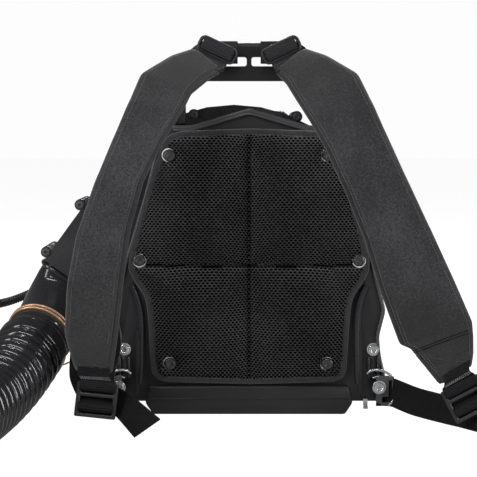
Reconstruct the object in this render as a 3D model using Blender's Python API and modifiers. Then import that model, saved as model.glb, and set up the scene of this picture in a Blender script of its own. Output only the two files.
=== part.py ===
"""Backpack leaf blower, standing on its base, seen from the harness side along +Y.

Metres, +Z up, +X to the right of the back plate. The origin is the centre of the flat underside of
the base. The back plate faces -Y, the engine is behind the fan case on the +Y side, and the air tube
leaves the lower left of the fan case, comes forward and lies on the ground along -Y.
"""

import math

import bmesh
import bpy
from mathutils import Matrix, Vector

# ---------------------------------------------------------------- driving dimensions
GAP = 0.0003  # between pieces that touch

PLATE_FRONT = -0.113
PLATE_DEPTH = 0.026
PLATE_WALL = 0.004
TRAY_HALF_WIDTH = 0.125
TRAY_HALF_DEPTH = 0.125
TRAY_HEIGHT = 0.016
TRAY_FLOOR = 0.005
LIP_HEIGHT = 0.037

HANDLE_HALF_WIDTH = 0.097
HANDLE_BOTTOM = 0.372
HANDLE_TOP = 0.476
HANDLE_BAR = 0.017
HANDLE_Y = -0.105

PAD_THICKNESS = 0.018
RIVET_RADIUS = 0.008
RIVET_SHANK = 0.003
RIVET_SITES = ((0.101, 0.3335), (0.1405, 0.2), (0.101, 0.066))

BOLT_RADIUS = 0.0075
BOLT_SHANK = 0.003
BOLT_SITES = {"upper": (0.161, 0.083), "lower": (0.1675, 0.036)}

WEBBING_THICKNESS = 0.002
STRAP_THICKNESS = 0.012
SLIDER_SIZE = (0.052, 0.022, 0.005)
LOCK_SIZE = (0.05, 0.042, 0.007)

FAN_X = -0.012
FAN_Z = 0.203
CASE_Y = (-0.085, -0.005)
CASE_SPLIT_Y = -0.045
CASE_WALL = 0.003
VOLUTE_START_RADIUS = 0.163
VOLUTE_END_RADIUS = 0.202
OUTLET_ANGLE = math.radians(143.6)  # where the outer wall leaves the spiral
OUTLET_LENGTH = 0.157
OUTLET_WIDTH = 0.1
INLET_RADIUS = 0.075
IMPELLER_RADIUS = 0.148
HUB_RADIUS = 0.045
BLADES = 14
BOSS_RADIUS = 0.0075
CASE_SCREW_RADIUS = 0.0022
BOSS_SITES = ((-0.0715, 0.3855), (0.062, 0.383), (-0.2202, 0.2684), (-0.2652, 0.2064))

DUCT_WALL = 0.0025
ELBOW_END = Vector((-0.2705, -0.125, 0.101))
ELBOW_END_AXIS = Vector((-0.24, -0.86, -0.45)).normalized()
ELBOW_RADIUS = 0.039
CLAMP_RADIUS = 0.0425
CUFF_LENGTH = 0.0203
HOSE_RADIUS = 0.0455
HOSE_BORE = 0.037
HOSE_END = Vector((-0.322, -0.4, 0.0485))
WAND_AXIS = Vector((-0.06, -1.0, -0.0175)).normalized()
CONTROL_RADIUS = 0.037
CONTROL_LENGTH = 0.25
TUBE_END_RADIUS = 0.0405
BLOWER_TUBE_RADIUS = 0.0345
BLOWER_TUBE_LENGTH = 0.36
NOZZLE_LENGTH = 0.3
NOZZLE_END_RADIUS = 0.026
CONDUIT_RADIUS = 0.0062
GRIP_WIDTH = 0.034
TRIGGER_WIDTH = 0.012
TRIGGER_PIVOT = (0.116, 0.1135)  # along the wand and above its axis
LEVER_PIVOT = (0.112, 0.124)

SHAFT_RADIUS = 0.008
WEB_RADIUS = 0.034
HALF_CRANK = 0.012
CYLINDER_Y = 0.0395
CYLINDER_BASE = 0.2483
CYLINDER_HEIGHT = 0.092
BORE_RADIUS = 0.0235
FIN_RADIUS = 0.043
STARTER_Y = (0.0753, 0.128)
STARTER_RADIUS = 0.072
PULLEY_RADIUS = 0.03
TANK_TOP = 0.112
FILLER = (0.078, 0.078)
CHOKE = (-0.11, 0.035)
PRIMER = (-0.095, 0.0583, 0.2885)

BLACK = (0.013, 0.013, 0.014)
CHARCOAL = (0.03, 0.03, 0.032)
ZINC = (0.62, 0.62, 0.6)
COPPER = (0.55, 0.3, 0.16)
ALUMINIUM = (0.6, 0.61, 0.62)
ORANGE = (0.75, 0.16, 0.02)


# ---------------------------------------------------------------- helpers
def clear_scene():
    for obj in list(bpy.data.objects):
        bpy.data.objects.remove(obj, do_unlink=True)


clear_scene()
PARTS = bpy.data.collections.new("leaf_blower")
CUTTERS = bpy.data.collections.new("cutters")
bpy.context.scene.collection.children.link(PARTS)
bpy.context.scene.collection.children.link(CUTTERS)


def material(name, color, roughness, metallic=0.0):
    made = bpy.data.materials.new(name)
    made.use_nodes = True
    shader = made.node_tree.nodes["Principled BSDF"]
    shader.inputs["Base Color"].default_value = (*color, 1.0)
    shader.inputs["Roughness"].default_value = roughness
    shader.inputs["Metallic"].default_value = metallic
    return made


def add_object(name, mesh, finish=None, smooth_angle=35):
    """A node with its own material, or a cutter where there is no finish."""
    obj = bpy.data.objects.new(name, mesh)
    mesh.name = name
    if finish is None:
        obj.hide_render = True
        obj.display_type = "WIRE"
        CUTTERS.objects.link(obj)
        return obj
    PARTS.objects.link(obj)
    mesh.materials.append(material(name, *finish))
    mesh.shade_smooth()
    mesh.set_sharp_from_angle(angle=math.radians(smooth_angle))
    return obj


def mesh_from(bm):
    bmesh.ops.recalc_face_normals(bm, faces=bm.faces)
    mesh = bpy.data.meshes.new("shape")
    bm.to_mesh(mesh)
    bm.free()
    return mesh


def bevel(obj, width, segments=2, angle=30):
    modifier = obj.modifiers.new("rounded_edges", "BEVEL")
    modifier.width = width
    modifier.segments = segments
    modifier.limit_method = "ANGLE"
    modifier.angle_limit = math.radians(angle)
    return obj


def boolean(obj, other, operation):
    modifier = obj.modifiers.new(operation.lower(), "BOOLEAN")
    modifier.operation = operation
    modifier.object = other
    return obj


def cut(obj, *cutters):
    for cutter in cutters:
        boolean(obj, cutter, "DIFFERENCE")
    return obj


def join(obj, *others):
    for other in others:
        boolean(obj, other, "UNION")
    return obj


def box(name, low, high, finish=None):
    """A block between two opposite corners."""
    low = Vector(low)
    high = Vector(high)
    bm = bmesh.new()
    bmesh.ops.create_cube(bm, size=1.0)
    bmesh.ops.scale(bm, vec=high - low, verts=bm.verts)
    obj = add_object(name, mesh_from(bm), finish)
    obj.location = (low + high) / 2
    return obj


def cylinder(name, radius, start, end, finish=None, sides=32):
    """A round bar between two points."""
    start = Vector(start)
    end = Vector(end)
    bm = bmesh.new()
    bmesh.ops.create_cone(
        bm,
        cap_ends=True,
        segments=sides,
        radius1=radius,
        radius2=radius,
        depth=(end - start).length,
    )
    obj = add_object(name, mesh_from(bm), finish)
    obj.location = (start + end) / 2
    obj.rotation_euler = (end - start).to_track_quat("Z", "Y").to_euler()
    return obj


def plate(name, outline, y_front, y_back, finish=None):
    """A flat outline of (x, z) points, extruded between two y values."""
    curve = bpy.data.curves.new(name, "CURVE")
    curve.dimensions = "2D"
    curve.fill_mode = "BOTH"
    curve.extrude = (y_back - y_front) / 2
    spline = curve.splines.new("POLY")
    spline.points.add(len(outline) - 1)
    for point, (x, z) in zip(spline.points, outline):
        point.co = (x, z, 0.0, 1.0)
    spline.use_cyclic_u = True
    guide = bpy.data.objects.new(name + "_curve", curve)
    bpy.context.scene.collection.objects.link(guide)
    bpy.context.view_layer.update()
    graph = bpy.context.evaluated_depsgraph_get()
    mesh = bpy.data.meshes.new_from_object(guide.evaluated_get(graph))
    bpy.data.objects.remove(guide, do_unlink=True)
    bm = bmesh.new()
    bm.from_mesh(mesh)
    bmesh.ops.remove_doubles(bm, verts=bm.verts, dist=1e-5)
    bmesh.ops.dissolve_limit(bm, angle_limit=0.001, verts=bm.verts, edges=bm.edges)
    bpy.data.meshes.remove(mesh)
    obj = add_object(name, mesh_from(bm), finish)
    obj.rotation_euler = (math.pi / 2, 0.0, 0.0)
    obj.location = (0.0, (y_front + y_back) / 2, 0.0)
    return obj


def turned(name, profile, origin, axis, finish=None, sides=32):
    """A (radius, height) profile turned about an axis; heights run along it from the origin."""
    bm = bmesh.new()
    points = [bm.verts.new((r, 0.0, h)) for r, h in profile]
    closed = min(r for r, _ in profile) > 1e-6
    for first, second in zip(points, points[1:]):
        bm.edges.new((first, second))
    if closed:
        bm.edges.new((points[-1], points[0]))
    mesh = bpy.data.meshes.new(name)
    bm.to_mesh(mesh)
    bm.free()
    obj = add_object(name, mesh, finish)
    screw = obj.modifiers.new("turn", "SCREW")
    screw.steps = sides
    screw.render_steps = sides
    screw.use_merge_vertices = True
    screw.merge_threshold = 1e-5
    screw.use_smooth_shade = False
    obj.location = origin
    obj.rotation_euler = Vector(axis).to_track_quat("Z", "Y").to_euler()
    return obj


def smooth_path(points, per_span):
    """Points along a smooth curve through the given ones."""
    ends = [2 * points[0] - points[1], *points, 2 * points[-1] - points[-2]]
    made = []
    for i in range(1, len(ends) - 2):
        before, here, there, after = ends[i - 1 : i + 3]
        for step in range(per_span):
            t = step / per_span
            made.append(
                0.5
                * (
                    2 * here
                    + (there - before) * t
                    + (2 * before - 5 * here + 4 * there - after) * t * t
                    + (3 * here - before - 3 * there + after) * t**3
                )
            )
    made.append(points[-1])
    return made


def pipe(name, rings, wall, finish=None, sides=20):
    """A hollow duct: rings are (centre, axis, outline), outline giving a point for each angle."""
    bm = bmesh.new()
    loops = []
    side = rings[0][1].cross(Vector((0.0, 0.0, 1.0))).normalized()
    for centre, axis, outline in rings:
        side = (side - axis * side.dot(axis)).normalized()
        up = side.cross(axis).normalized()
        loop = []
        for i in range(sides):
            across, above = outline(2 * math.pi * i / sides)
            loop.append(bm.verts.new(centre + side * across + up * above))
        loops.append(loop)
    for first, second in zip(loops, loops[1:]):
        for i in range(sides):
            j = (i + 1) % sides
            bm.faces.new((first[i], second[i], second[j], first[j]))
    obj = add_object(name, mesh_from(bm), finish)
    skin = obj.modifiers.new("wall", "SOLIDIFY")
    skin.thickness = wall
    skin.offset = -1.0
    skin.use_even_offset = True
    return obj


def tube(name, points, radius, finish, per_span=4, bevel_resolution=2):
    """A cable through the given points, with flat filled ends."""
    path = smooth_path([Vector(p) for p in points], per_span)
    curve = bpy.data.curves.new(name, "CURVE")
    curve.dimensions = "3D"
    curve.bevel_depth = radius
    curve.bevel_resolution = bevel_resolution
    curve.use_fill_caps = True
    spline = curve.splines.new("POLY")
    spline.points.add(len(path) - 1)
    for point, place in zip(spline.points, path):
        point.co = (*place, 1.0)
    obj = bpy.data.objects.new(name, curve)
    PARTS.objects.link(obj)
    curve.materials.append(material(name, *finish))
    return obj


def ribbon(name, stations, thickness, finish, per_span=2, across=2):
    """A strap: stations are pairs of (one edge, other edge) points; its thickness goes backward."""
    first = smooth_path([Vector(a) for a, _ in stations], per_span)
    second = smooth_path([Vector(b) for _, b in stations], per_span)
    bm = bmesh.new()
    rows = []
    for a, b in zip(first, second):
        rows.append([bm.verts.new(a.lerp(b, i / across)) for i in range(across + 1)])
    for row, below in zip(rows, rows[1:]):
        for i in range(across):
            bm.faces.new((row[i], below[i], below[i + 1], row[i + 1]))
    mesh = bpy.data.meshes.new(name)
    bm.to_mesh(mesh)
    bm.free()
    obj = add_object(name, mesh, finish)
    skin = obj.modifiers.new("thickness", "SOLIDIFY")
    skin.thickness = thickness
    skin.offset = 1.0
    return obj


def mirrored(points):
    """An outline of (x, z) points from its right half, top to bottom."""
    left = [(-x, z) for x, z in reversed(points) if x > 1e-6]
    return [*points, *left]


def inset(outline, distance):
    """The outline moved inward by a distance, corner by corner; it runs clockwise as seen from -Y."""
    made = []
    count = len(outline)
    for i in range(count):
        here = Vector(outline[i])
        back = (here - Vector(outline[i - 1])).normalized()
        ahead = (Vector(outline[(i + 1) % count]) - here).normalized()
        normal_back = Vector((back.y, -back.x))
        normal_ahead = Vector((ahead.y, -ahead.x))
        corner = (normal_back + normal_ahead).normalized()
        made.append(tuple(here + corner * distance / max(corner.dot(normal_back), 0.3)))
    return made


def shell(name, outline, y_front, y_back, wall, finish, edge):
    """A tray-shaped moulding, its face at y_front and open at y_back."""
    obj = bevel(plate(name, outline, y_front, y_back, finish), edge)
    hollow = plate(name + "_hollow", inset(outline, wall), y_front + wall, y_back + wall)
    return cut(obj, hollow)


# ---------------------------------------------------------------- frame: back plate, handle, pad
PLASTIC = (BLACK, 0.45)
DARK_PLASTIC = (CHARCOAL, 0.5)
GLOSS = (BLACK, 0.22)
FABRIC = (CHARCOAL, 0.9)
MESH_FABRIC = (BLACK, 0.95)
ZINC_PLATED = (ZINC, 0.3, 1.0)

PLATE_HALF = (
    (0.0, 0.3936),
    (0.074, 0.3716),
    (0.101, 0.3716),
    (0.113, 0.36),
    (0.138, 0.27),
    (0.159, 0.2),
    (0.1765, 0.134),
    (0.168, 0.1),
    (0.1705, 0.075),
    (0.1765, 0.05),
    (0.1775, 0.022),
    (0.171, 0.0145),
)


def make_back_plate():
    body = shell(
        "back_plate",
        mirrored(PLATE_HALF),
        PLATE_FRONT,
        PLATE_FRONT + PLATE_DEPTH,
        PLATE_WALL,
        PLASTIC,
        0.003,
    )
    lip = plate(
        "lip_block",
        mirrored([(0.128, LIP_HEIGHT), (0.1335, 0.018), (0.1335, 0.0145), (0.124, 0.0)]),
        -TRAY_HALF_DEPTH,
        PLATE_FRONT + PLATE_WALL / 2,
    )
    bevel(lip, 0.0025)
    tray = box(
        "tray_block",
        (-TRAY_HALF_WIDTH, PLATE_FRONT + PLATE_WALL / 4, 0.0),
        (TRAY_HALF_WIDTH, TRAY_HALF_DEPTH, TRAY_HEIGHT),
    )
    recess = box(
        "tray_recess",
        (-TRAY_HALF_WIDTH + 0.005, PLATE_FRONT + PLATE_DEPTH + 0.005, TRAY_FLOOR),
        (TRAY_HALF_WIDTH - 0.005, TRAY_HALF_DEPTH - 0.005, TRAY_HEIGHT + 0.01),
    )
    join(body, lip, tray)
    cut(body, recess)
    rib_x = 0.144
    half_rib = 0.002
    for side in (-1, 1):
        stiffener = box(
            f"side_rib_{'left' if side < 0 else 'right'}",
            (side * rib_x - half_rib, PLATE_FRONT - 0.004, 0.026),
            (side * rib_x + half_rib, PLATE_FRONT + PLATE_WALL / 2, 0.108),
        )
        join(body, stiffener)
        for name, (x, z) in BOLT_SITES.items():
            hole = cylinder(
                f"bolt_hole_{name}_{'left' if side < 0 else 'right'}",
                BOLT_SHANK + GAP,
                (side * x, PLATE_FRONT - 0.01, z),
                (side * x, PLATE_FRONT + 0.01, z),
                sides=16,
            )
            cut(body, hole)
        for i, (x, z) in enumerate(RIVET_SITES):
            hole = cylinder(
                f"rivet_hole_{i}_{'left' if side < 0 else 'right'}",
                RIVET_SHANK + GAP,
                (side * x, PLATE_FRONT - 0.01, z),
                (side * x, PLATE_FRONT + 0.01, z),
                sides=16,
            )
            cut(body, hole)
    return body


def make_handle():
    half = HANDLE_HALF_WIDTH
    top = HANDLE_TOP
    outer = mirrored(
        [
            (half - 0.037, top),
            (half - 0.0295, top - 0.0025),
            (half - 0.0035, top - 0.024),
            (half, top - 0.031),
            (half, HANDLE_BOTTOM),
        ]
    )
    front = HANDLE_Y - HANDLE_BAR / 2
    back = HANDLE_Y + HANDLE_BAR / 2
    body = plate("carry_handle", outer, front, back, PLASTIC)
    bevel(body, 0.005, 3, 50)
    window = plate(
        "handle_window_cut",
        mirrored([(half - 0.024, 0.428), (half - 0.016, 0.42), (half - 0.016, HANDLE_BOTTOM - 0.01)]),
        HANDLE_Y - HANDLE_BAR,
        HANDLE_Y + HANDLE_BAR,
    )
    cut(body, window)
    for side in (-1, 1):
        slot = plate(
            f"handle_slot_cut_{'left' if side < 0 else 'right'}",
            [
                (side * 0.0048, 0.4465),
                (side * 0.003, 0.4483),
                (side * 0.003, 0.4567),
                (side * 0.0048, 0.4585),
                (side * 0.067, 0.4585),
                (side * 0.073, 0.4525),
                (side * 0.067, 0.4465),
            ],
            HANDLE_Y - HANDLE_BAR,
            HANDLE_Y + HANDLE_BAR,
        )
        cut(body, slot)
    return body


PAD_HALF = (
    (0.0, 0.368),
    (0.084, 0.3645),
    (0.095, 0.3555),
    (0.117, 0.29),
    (0.137, 0.235),
    (0.15, 0.198),
    (0.151, 0.182),
    (0.142, 0.15),
    (0.1285, 0.124),
    (0.1265, 0.09),
    (0.1235, 0.052),
    (0.113, 0.0415),
    (0.0, 0.0385),
)


def make_pad():
    front = PLATE_FRONT - GAP - PAD_THICKNESS
    pad = plate("back_pad", mirrored(PAD_HALF), front, PLATE_FRONT - GAP, MESH_FABRIC)
    for i, (x, z) in enumerate(RIVET_SITES):
        for side in (-1, 1):
            tag = f"{i}_{'left' if side < 0 else 'right'}"
            dimple = cylinder(
                "pad_dimple_" + tag,
                RIVET_RADIUS + 0.0005,
                (side * x, front - 0.01, z),
                (side * x, PLATE_FRONT - 0.007, z),
                sides=20,
            )
            hole = cylinder(
                "pad_hole_" + tag,
                RIVET_SHANK + GAP,
                (side * x, front, z),
                (side * x, PLATE_FRONT + 0.01, z),
                sides=12,
            )
            cut(pad, dimple, hole)
    number = 1
    for x, z in RIVET_SITES:
        for side in (-1, 1):
            turned(
                f"pad_rivet_{number}",
                [
                    (0.0, 0.0034),
                    (0.004, 0.003),
                    (0.007, 0.0016),
                    (RIVET_RADIUS, 0.0),
                    (RIVET_SHANK, 0.0),
                    (RIVET_SHANK, -0.0145),
                    (0.0, -0.016),
                ],
                (side * x, PLATE_FRONT - 0.007 - GAP, z),
                (0.0, -1.0, 0.0),
                GLOSS,
                sides=14,
            )
            number += 1


# ---------------------------------------------------------------- harness
STRAP_RIGHT = (
    ((0.029, -0.136, 0.441), (0.067, -0.136, 0.47)),
    ((0.043, -0.152, 0.425), (0.094, -0.165, 0.459)),
    ((0.057, -0.178, 0.4), (0.127, -0.205, 0.436)),
    ((0.0655, -0.2, 0.379), (0.143, -0.23, 0.4)),
    ((0.082, -0.225, 0.347), (0.158, -0.247, 0.364)),
    ((0.103, -0.248, 0.297), (0.1805, -0.265, 0.312)),
    ((0.127, -0.26, 0.238), (0.2075, -0.275, 0.2535)),
    ((0.151, -0.258, 0.179), (0.2355, -0.272, 0.195)),
    ((0.179, -0.242, 0.1085), (0.263, -0.255, 0.137)),
    ((0.214, -0.232, 0.074), (0.269, -0.238, 0.09)),
)
STRAP_LEFT = (
    ((-0.03, -0.136, 0.441), (-0.067, -0.136, 0.47)),
    ((-0.045, -0.152, 0.428), (-0.095, -0.165, 0.459)),
    ((-0.063, -0.178, 0.412), (-0.1275, -0.205, 0.436)),
    ((-0.074, -0.2, 0.39), (-0.1415, -0.23, 0.4)),
    ((-0.095, -0.225, 0.359), (-0.157, -0.247, 0.362)),
    ((-0.117, -0.248, 0.31), (-0.1775, -0.265, 0.311)),
    ((-0.1355, -0.258, 0.2485), (-0.2005, -0.272, 0.246)),
    ((-0.148, -0.252, 0.184), (-0.2135, -0.265, 0.186)),
    ((-0.162, -0.225, 0.108), (-0.222, -0.235, 0.1205)),
    ((-0.17, -0.208, 0.066), (-0.2115, -0.213, 0.069)),
)
WEBBING_RIGHT = (
    ((0.19, -0.1295, 0.047), (0.184, -0.1295, 0.011)),
    ((0.2, -0.15, 0.046), (0.193, -0.148, 0.01)),
    ((0.214, -0.172, 0.044), (0.207, -0.17, 0.0085)),
    ((0.24, -0.2, 0.042), (0.236, -0.2, 0.0065)),
    ((0.262, -0.217, 0.04), (0.256, -0.217, 0.005)),
    ((0.286, -0.234, 0.034), (0.276, -0.24, 0.004)),
)
WEBBING_LEFT = (
    ((-0.19, -0.1295, 0.047), (-0.184, -0.1295, 0.011)),
    ((-0.196, -0.148, 0.048), (-0.192, -0.146, 0.012)),
    ((-0.193, -0.17, 0.051), (-0.196, -0.17, 0.016)),
    ((-0.174, -0.19, 0.052), (-0.183, -0.192, 0.021)),
    ((-0.15, -0.204, 0.046), (-0.166, -0.206, 0.018)),
    ((-0.107, -0.24, 0.021), (-0.137, -0.262, 0.004)),
)
SLIDER_PLACE = Vector((0.04, -0.1285, 0.466))
SLIDER_TILT = math.radians(25)
LOCK_PLACES = {
    "left": (Vector((-0.186, -0.219, 0.039)), math.radians(6)),
    "right": (Vector((0.2605, -0.2375, 0.045)), math.radians(-28)),
}


def buckle(name, place, tilt, size, bars, lean, finish):
    """A flat frame with slots between its bars, lying across a strap."""
    width, height, thickness = size
    frame = box(
        name,
        (-width / 2, -thickness / 2, -height / 2),
        (width / 2, thickness / 2, height / 2),
        finish,
    )
    slots = bars - 1
    bar = 0.0045
    slot_height = (height - bars * bar) / slots
    turn = Matrix.Rotation(tilt, 4, "Y") @ Matrix.Rotation(lean, 4, "X")
    for i in range(slots):
        low = -height / 2 + bar + i * (slot_height + bar)
        slot = box(
            f"{name}_slot_{i}",
            (-width / 2 + 0.005, -thickness, low),
            (width / 2 - 0.005, thickness, low + slot_height),
        )
        slot.matrix_world = Matrix.Translation(place) @ turn @ Matrix.Translation(slot.location)
        cut(frame, slot)
    frame.matrix_world = Matrix.Translation(place) @ turn
    bevel(frame, 0.0012, 1)
    return frame


def make_harness():
    bar_back = HANDLE_Y + HANDLE_BAR / 2 + GAP
    bar_front = HANDLE_Y - HANDLE_BAR / 2 - GAP
    top = HANDLE_TOP + 0.0012
    for side, name, stations in ((-1, "left", STRAP_LEFT), (1, "right", STRAP_RIGHT)):
        thickness = STRAP_THICKNESS if side > 0 else -STRAP_THICKNESS
        ribbon(f"shoulder_pad_{name}", stations, thickness, FABRIC)
        wrap = [
            (bar_front - 0.003, 0.4495),
            (bar_front - 0.0005, 0.458),
            (bar_front, 0.4735),
            (bar_front + 0.0035, top),
            (bar_back - 0.0035, top),
            (bar_back, 0.4735),
            (bar_back, 0.46),
        ]
        path = [(Vector((side * 0.014, y, z)), Vector((side * 0.052, y, z))) for y, z in wrap]
        wall = WEBBING_THICKNESS * side
        ribbon(f"top_webbing_{name}", path, -wall, FABRIC, per_span=1, across=1)
        place = SLIDER_PLACE.copy()
        place.x *= side
        buckle(f"top_slider_{name}", place, -side * SLIDER_TILT, SLIDER_SIZE, 3, 0.0, GLOSS)
        loop, tilt = LOCK_PLACES[name]
        buckle(f"ladder_lock_{name}", loop, tilt, LOCK_SIZE, 4, math.radians(-8), GLOSS)
    ribbon("lower_webbing_right", WEBBING_RIGHT, WEBBING_THICKNESS, FABRIC)
    ribbon("lower_webbing_left", WEBBING_LEFT, -WEBBING_THICKNESS, FABRIC)


def make_brackets():
    """Bolts on the wings, and the hooks that the lower webbing loops onto."""
    head = 0.0055
    seat = PLATE_FRONT - GAP
    for side, tag in ((-1, "left"), (1, "right")):
        for name, (x, z) in BOLT_SITES.items():
            turned(
                f"bracket_bolt_{name}_{tag}",
                [
                    (0.0, 0.0028),
                    (0.0032, 0.0028),
                    (0.0037, head),
                    (0.0055, head - 0.0006),
                    (BOLT_RADIUS, 0.0018),
                    (BOLT_RADIUS, 0.0),
                    (BOLT_SHANK, 0.0),
                    (BOLT_SHANK, -0.013),
                    (0.0, -0.013),
                ],
                (side * x, seat, z),
                (0.0, -1.0, 0.0),
                ZINC_PLATED,
                sides=14,
            )
        x, z = BOLT_SITES["lower"]
        outline = [
            (side * (x - 0.004), z + 0.014),
            (side * (x + 0.012), z + 0.015),
            (side * (x + 0.0215), z + 0.009),
            (side * (x + 0.0215), z - 0.018),
            (side * (x + 0.0165), z - 0.0235),
            (side * (x + 0.004), z - 0.0235),
            (side * (x - 0.004), z - 0.019),
        ]
        hook = plate(f"strap_hook_{tag}", outline, seat - 0.0143, seat - 0.0115, ZINC_PLATED)
        window = plate(
            f"strap_hook_{tag}_window",
            [
                (side * (x + 0.004), z - 0.0125),
                (side * (x + 0.004), z - 0.0195),
                (side * (x + 0.0165), z - 0.0195),
                (side * (x + 0.0165), z + 0.009),
                (side * (x + 0.0125), z + 0.009),
                (side * (x + 0.0125), z - 0.0125),
            ],
            seat - 0.02,
            seat,
        )
        cut(hook, window)


# ---------------------------------------------------------------- fan case, impeller, engine
def volute_outline(inset):
    """(x, z) points round the inside or outside of the scroll, outlet included."""
    outward = Vector((math.cos(OUTLET_ANGLE), math.sin(OUTLET_ANGLE)))
    onward = Vector((-math.sin(OUTLET_ANGLE), math.cos(OUTLET_ANGLE)))
    centre = Vector((FAN_X, FAN_Z))
    inner_reach = VOLUTE_END_RADIUS - OUTLET_WIDTH
    tongue = math.sqrt(VOLUTE_START_RADIUS**2 - inner_reach**2)
    start = OUTLET_ANGLE + math.atan2(tongue, inner_reach) - 2 * math.pi
    points = []
    steps = 30
    for i in range(steps + 1):
        t = i / steps
        angle = start + (OUTLET_ANGLE - start) * t
        radius = VOLUTE_START_RADIUS + (VOLUTE_END_RADIUS - VOLUTE_START_RADIUS) * t - inset
        points.append(centre + radius * Vector((math.cos(angle), math.sin(angle))))
    reach = OUTLET_LENGTH + (0.01 if inset else 0.0)
    points.append(centre + outward * (VOLUTE_END_RADIUS - inset) + onward * reach)
    points.append(centre + outward * (inner_reach + inset) + onward * reach)
    points.append(centre + outward * (inner_reach + inset) + onward * (tongue + 2 * inset))
    return [(p.x, p.y) for p in points]


def make_fan():
    outer = volute_outline(0.0)
    inner = volute_outline(CASE_WALL)
    halves = (
        ("fan_case_front", CASE_Y[0], CASE_SPLIT_Y - GAP),
        ("fan_case_rear", CASE_SPLIT_Y, CASE_Y[1]),
    )
    for name, front, back in halves:
        half = plate(name, outer, front, back, PLASTIC)
        is_front = name.endswith("front")
        for i, (x, z) in enumerate(BOSS_SITES):
            start = (x, front + 0.002, z)
            join(half, cylinder(f"{name}_boss_{i}", BOSS_RADIUS, start, (x, back, z), sides=16))
        if not is_front:
            for side, tag in ((-1, "left"), (1, "right")):
                foot = box(
                    f"case_foot_{tag}",
                    (side * 0.07 - 0.02, front + 0.006, 0.03),
                    (side * 0.07 + 0.02, back - 0.001, 0.068),
                )
                join(half, foot)
        hollow = plate(
            name + "_hollow",
            inner,
            front + CASE_WALL if is_front else front - 0.01,
            back + 0.01 if is_front else back - CASE_WALL,
        )
        cut(half, hollow)
        for i, (x, z) in enumerate(BOSS_SITES):
            drill = cylinder(
                f"{name}_screw_hole_{i}",
                CASE_SCREW_RADIUS,
                (x, front - 0.01, z),
                (x, back + 0.01, z),
                sides=12,
            )
            cut(half, drill)
        opening = INLET_RADIUS if is_front else SHAFT_RADIUS + 0.004
        hole = cylinder(
            name + "_hole",
            opening,
            (FAN_X, front - 0.02, FAN_Z),
            (FAN_X, back + 0.02, FAN_Z),
            sides=40,
        )
        cut(half, hole)


def make_rotor():
    back_y = CASE_Y[1] - CASE_WALL - 0.004
    front_y = CASE_Y[0] + CASE_WALL + 0.006
    disc_thickness = 0.004
    outline = []
    for i in range(BLADES):
        base = 2 * math.pi * i / BLADES
        half_root = 0.0035 / HUB_RADIUS
        sweep = -math.radians(34)
        for radius, turn in (
            (HUB_RADIUS, -half_root),
            (0.095, 0.55 * sweep - 0.0018 / 0.095),
            (IMPELLER_RADIUS, sweep - 0.0016 / IMPELLER_RADIUS),
            (IMPELLER_RADIUS, sweep + 0.0016 / IMPELLER_RADIUS),
            (0.095, 0.55 * sweep + 0.0018 / 0.095),
            (HUB_RADIUS, half_root),
        ):
            angle = base + turn
            outline.append((FAN_X + radius * math.cos(angle), FAN_Z + radius * math.sin(angle)))
    impeller = plate("impeller", outline, front_y, back_y - disc_thickness / 2, DARK_PLASTIC)
    disc = cylinder(
        "impeller_disc",
        IMPELLER_RADIUS + 0.0005,
        (FAN_X, back_y - disc_thickness, FAN_Z),
        (FAN_X, back_y, FAN_Z),
        sides=56,
    )
    bore = cylinder(
        "impeller_bore",
        SHAFT_RADIUS + GAP,
        (FAN_X, front_y - 0.01, FAN_Z),
        (FAN_X, back_y + 0.01, FAN_Z),
        sides=24,
    )
    eye = turned(
        "impeller_eye",
        [(0.0, 0.001), (0.0885, 0.001), (HUB_RADIUS + 0.0027, -0.0305), (0.0, -0.0305)],
        (FAN_X, front_y - 0.001, FAN_Z),
        (0.0, -1.0, 0.0),
        sides=40,
    )
    cut(impeller, eye)
    join(impeller, disc)
    cut(impeller, bore)
    shaft_end = CASE_Y[0] + 0.024
    pin_radius = 0.011
    web = 0.008
    low = CYLINDER_Y - HALF_CRANK
    high = CYLINDER_Y + HALF_CRANK
    shaft_back = STARTER_Y[0] + 0.012
    turned(
        "crankshaft",
        [
            (0.0, -shaft_end),
            (SHAFT_RADIUS, -shaft_end),
            (SHAFT_RADIUS, -low),
            (WEB_RADIUS, -low),
            (WEB_RADIUS, -low - web),
            (pin_radius, -low - web),
            (pin_radius, -high + web),
            (WEB_RADIUS, -high + web),
            (WEB_RADIUS, -high),
            (SHAFT_RADIUS, -high),
            (SHAFT_RADIUS, -shaft_back),
            (0.0, -shaft_back),
        ],
        (FAN_X, 0.0, FAN_Z),
        (0.0, -1.0, 0.0),
        (ALUMINIUM, 0.35, 1.0),
        sides=20,
    )


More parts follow.
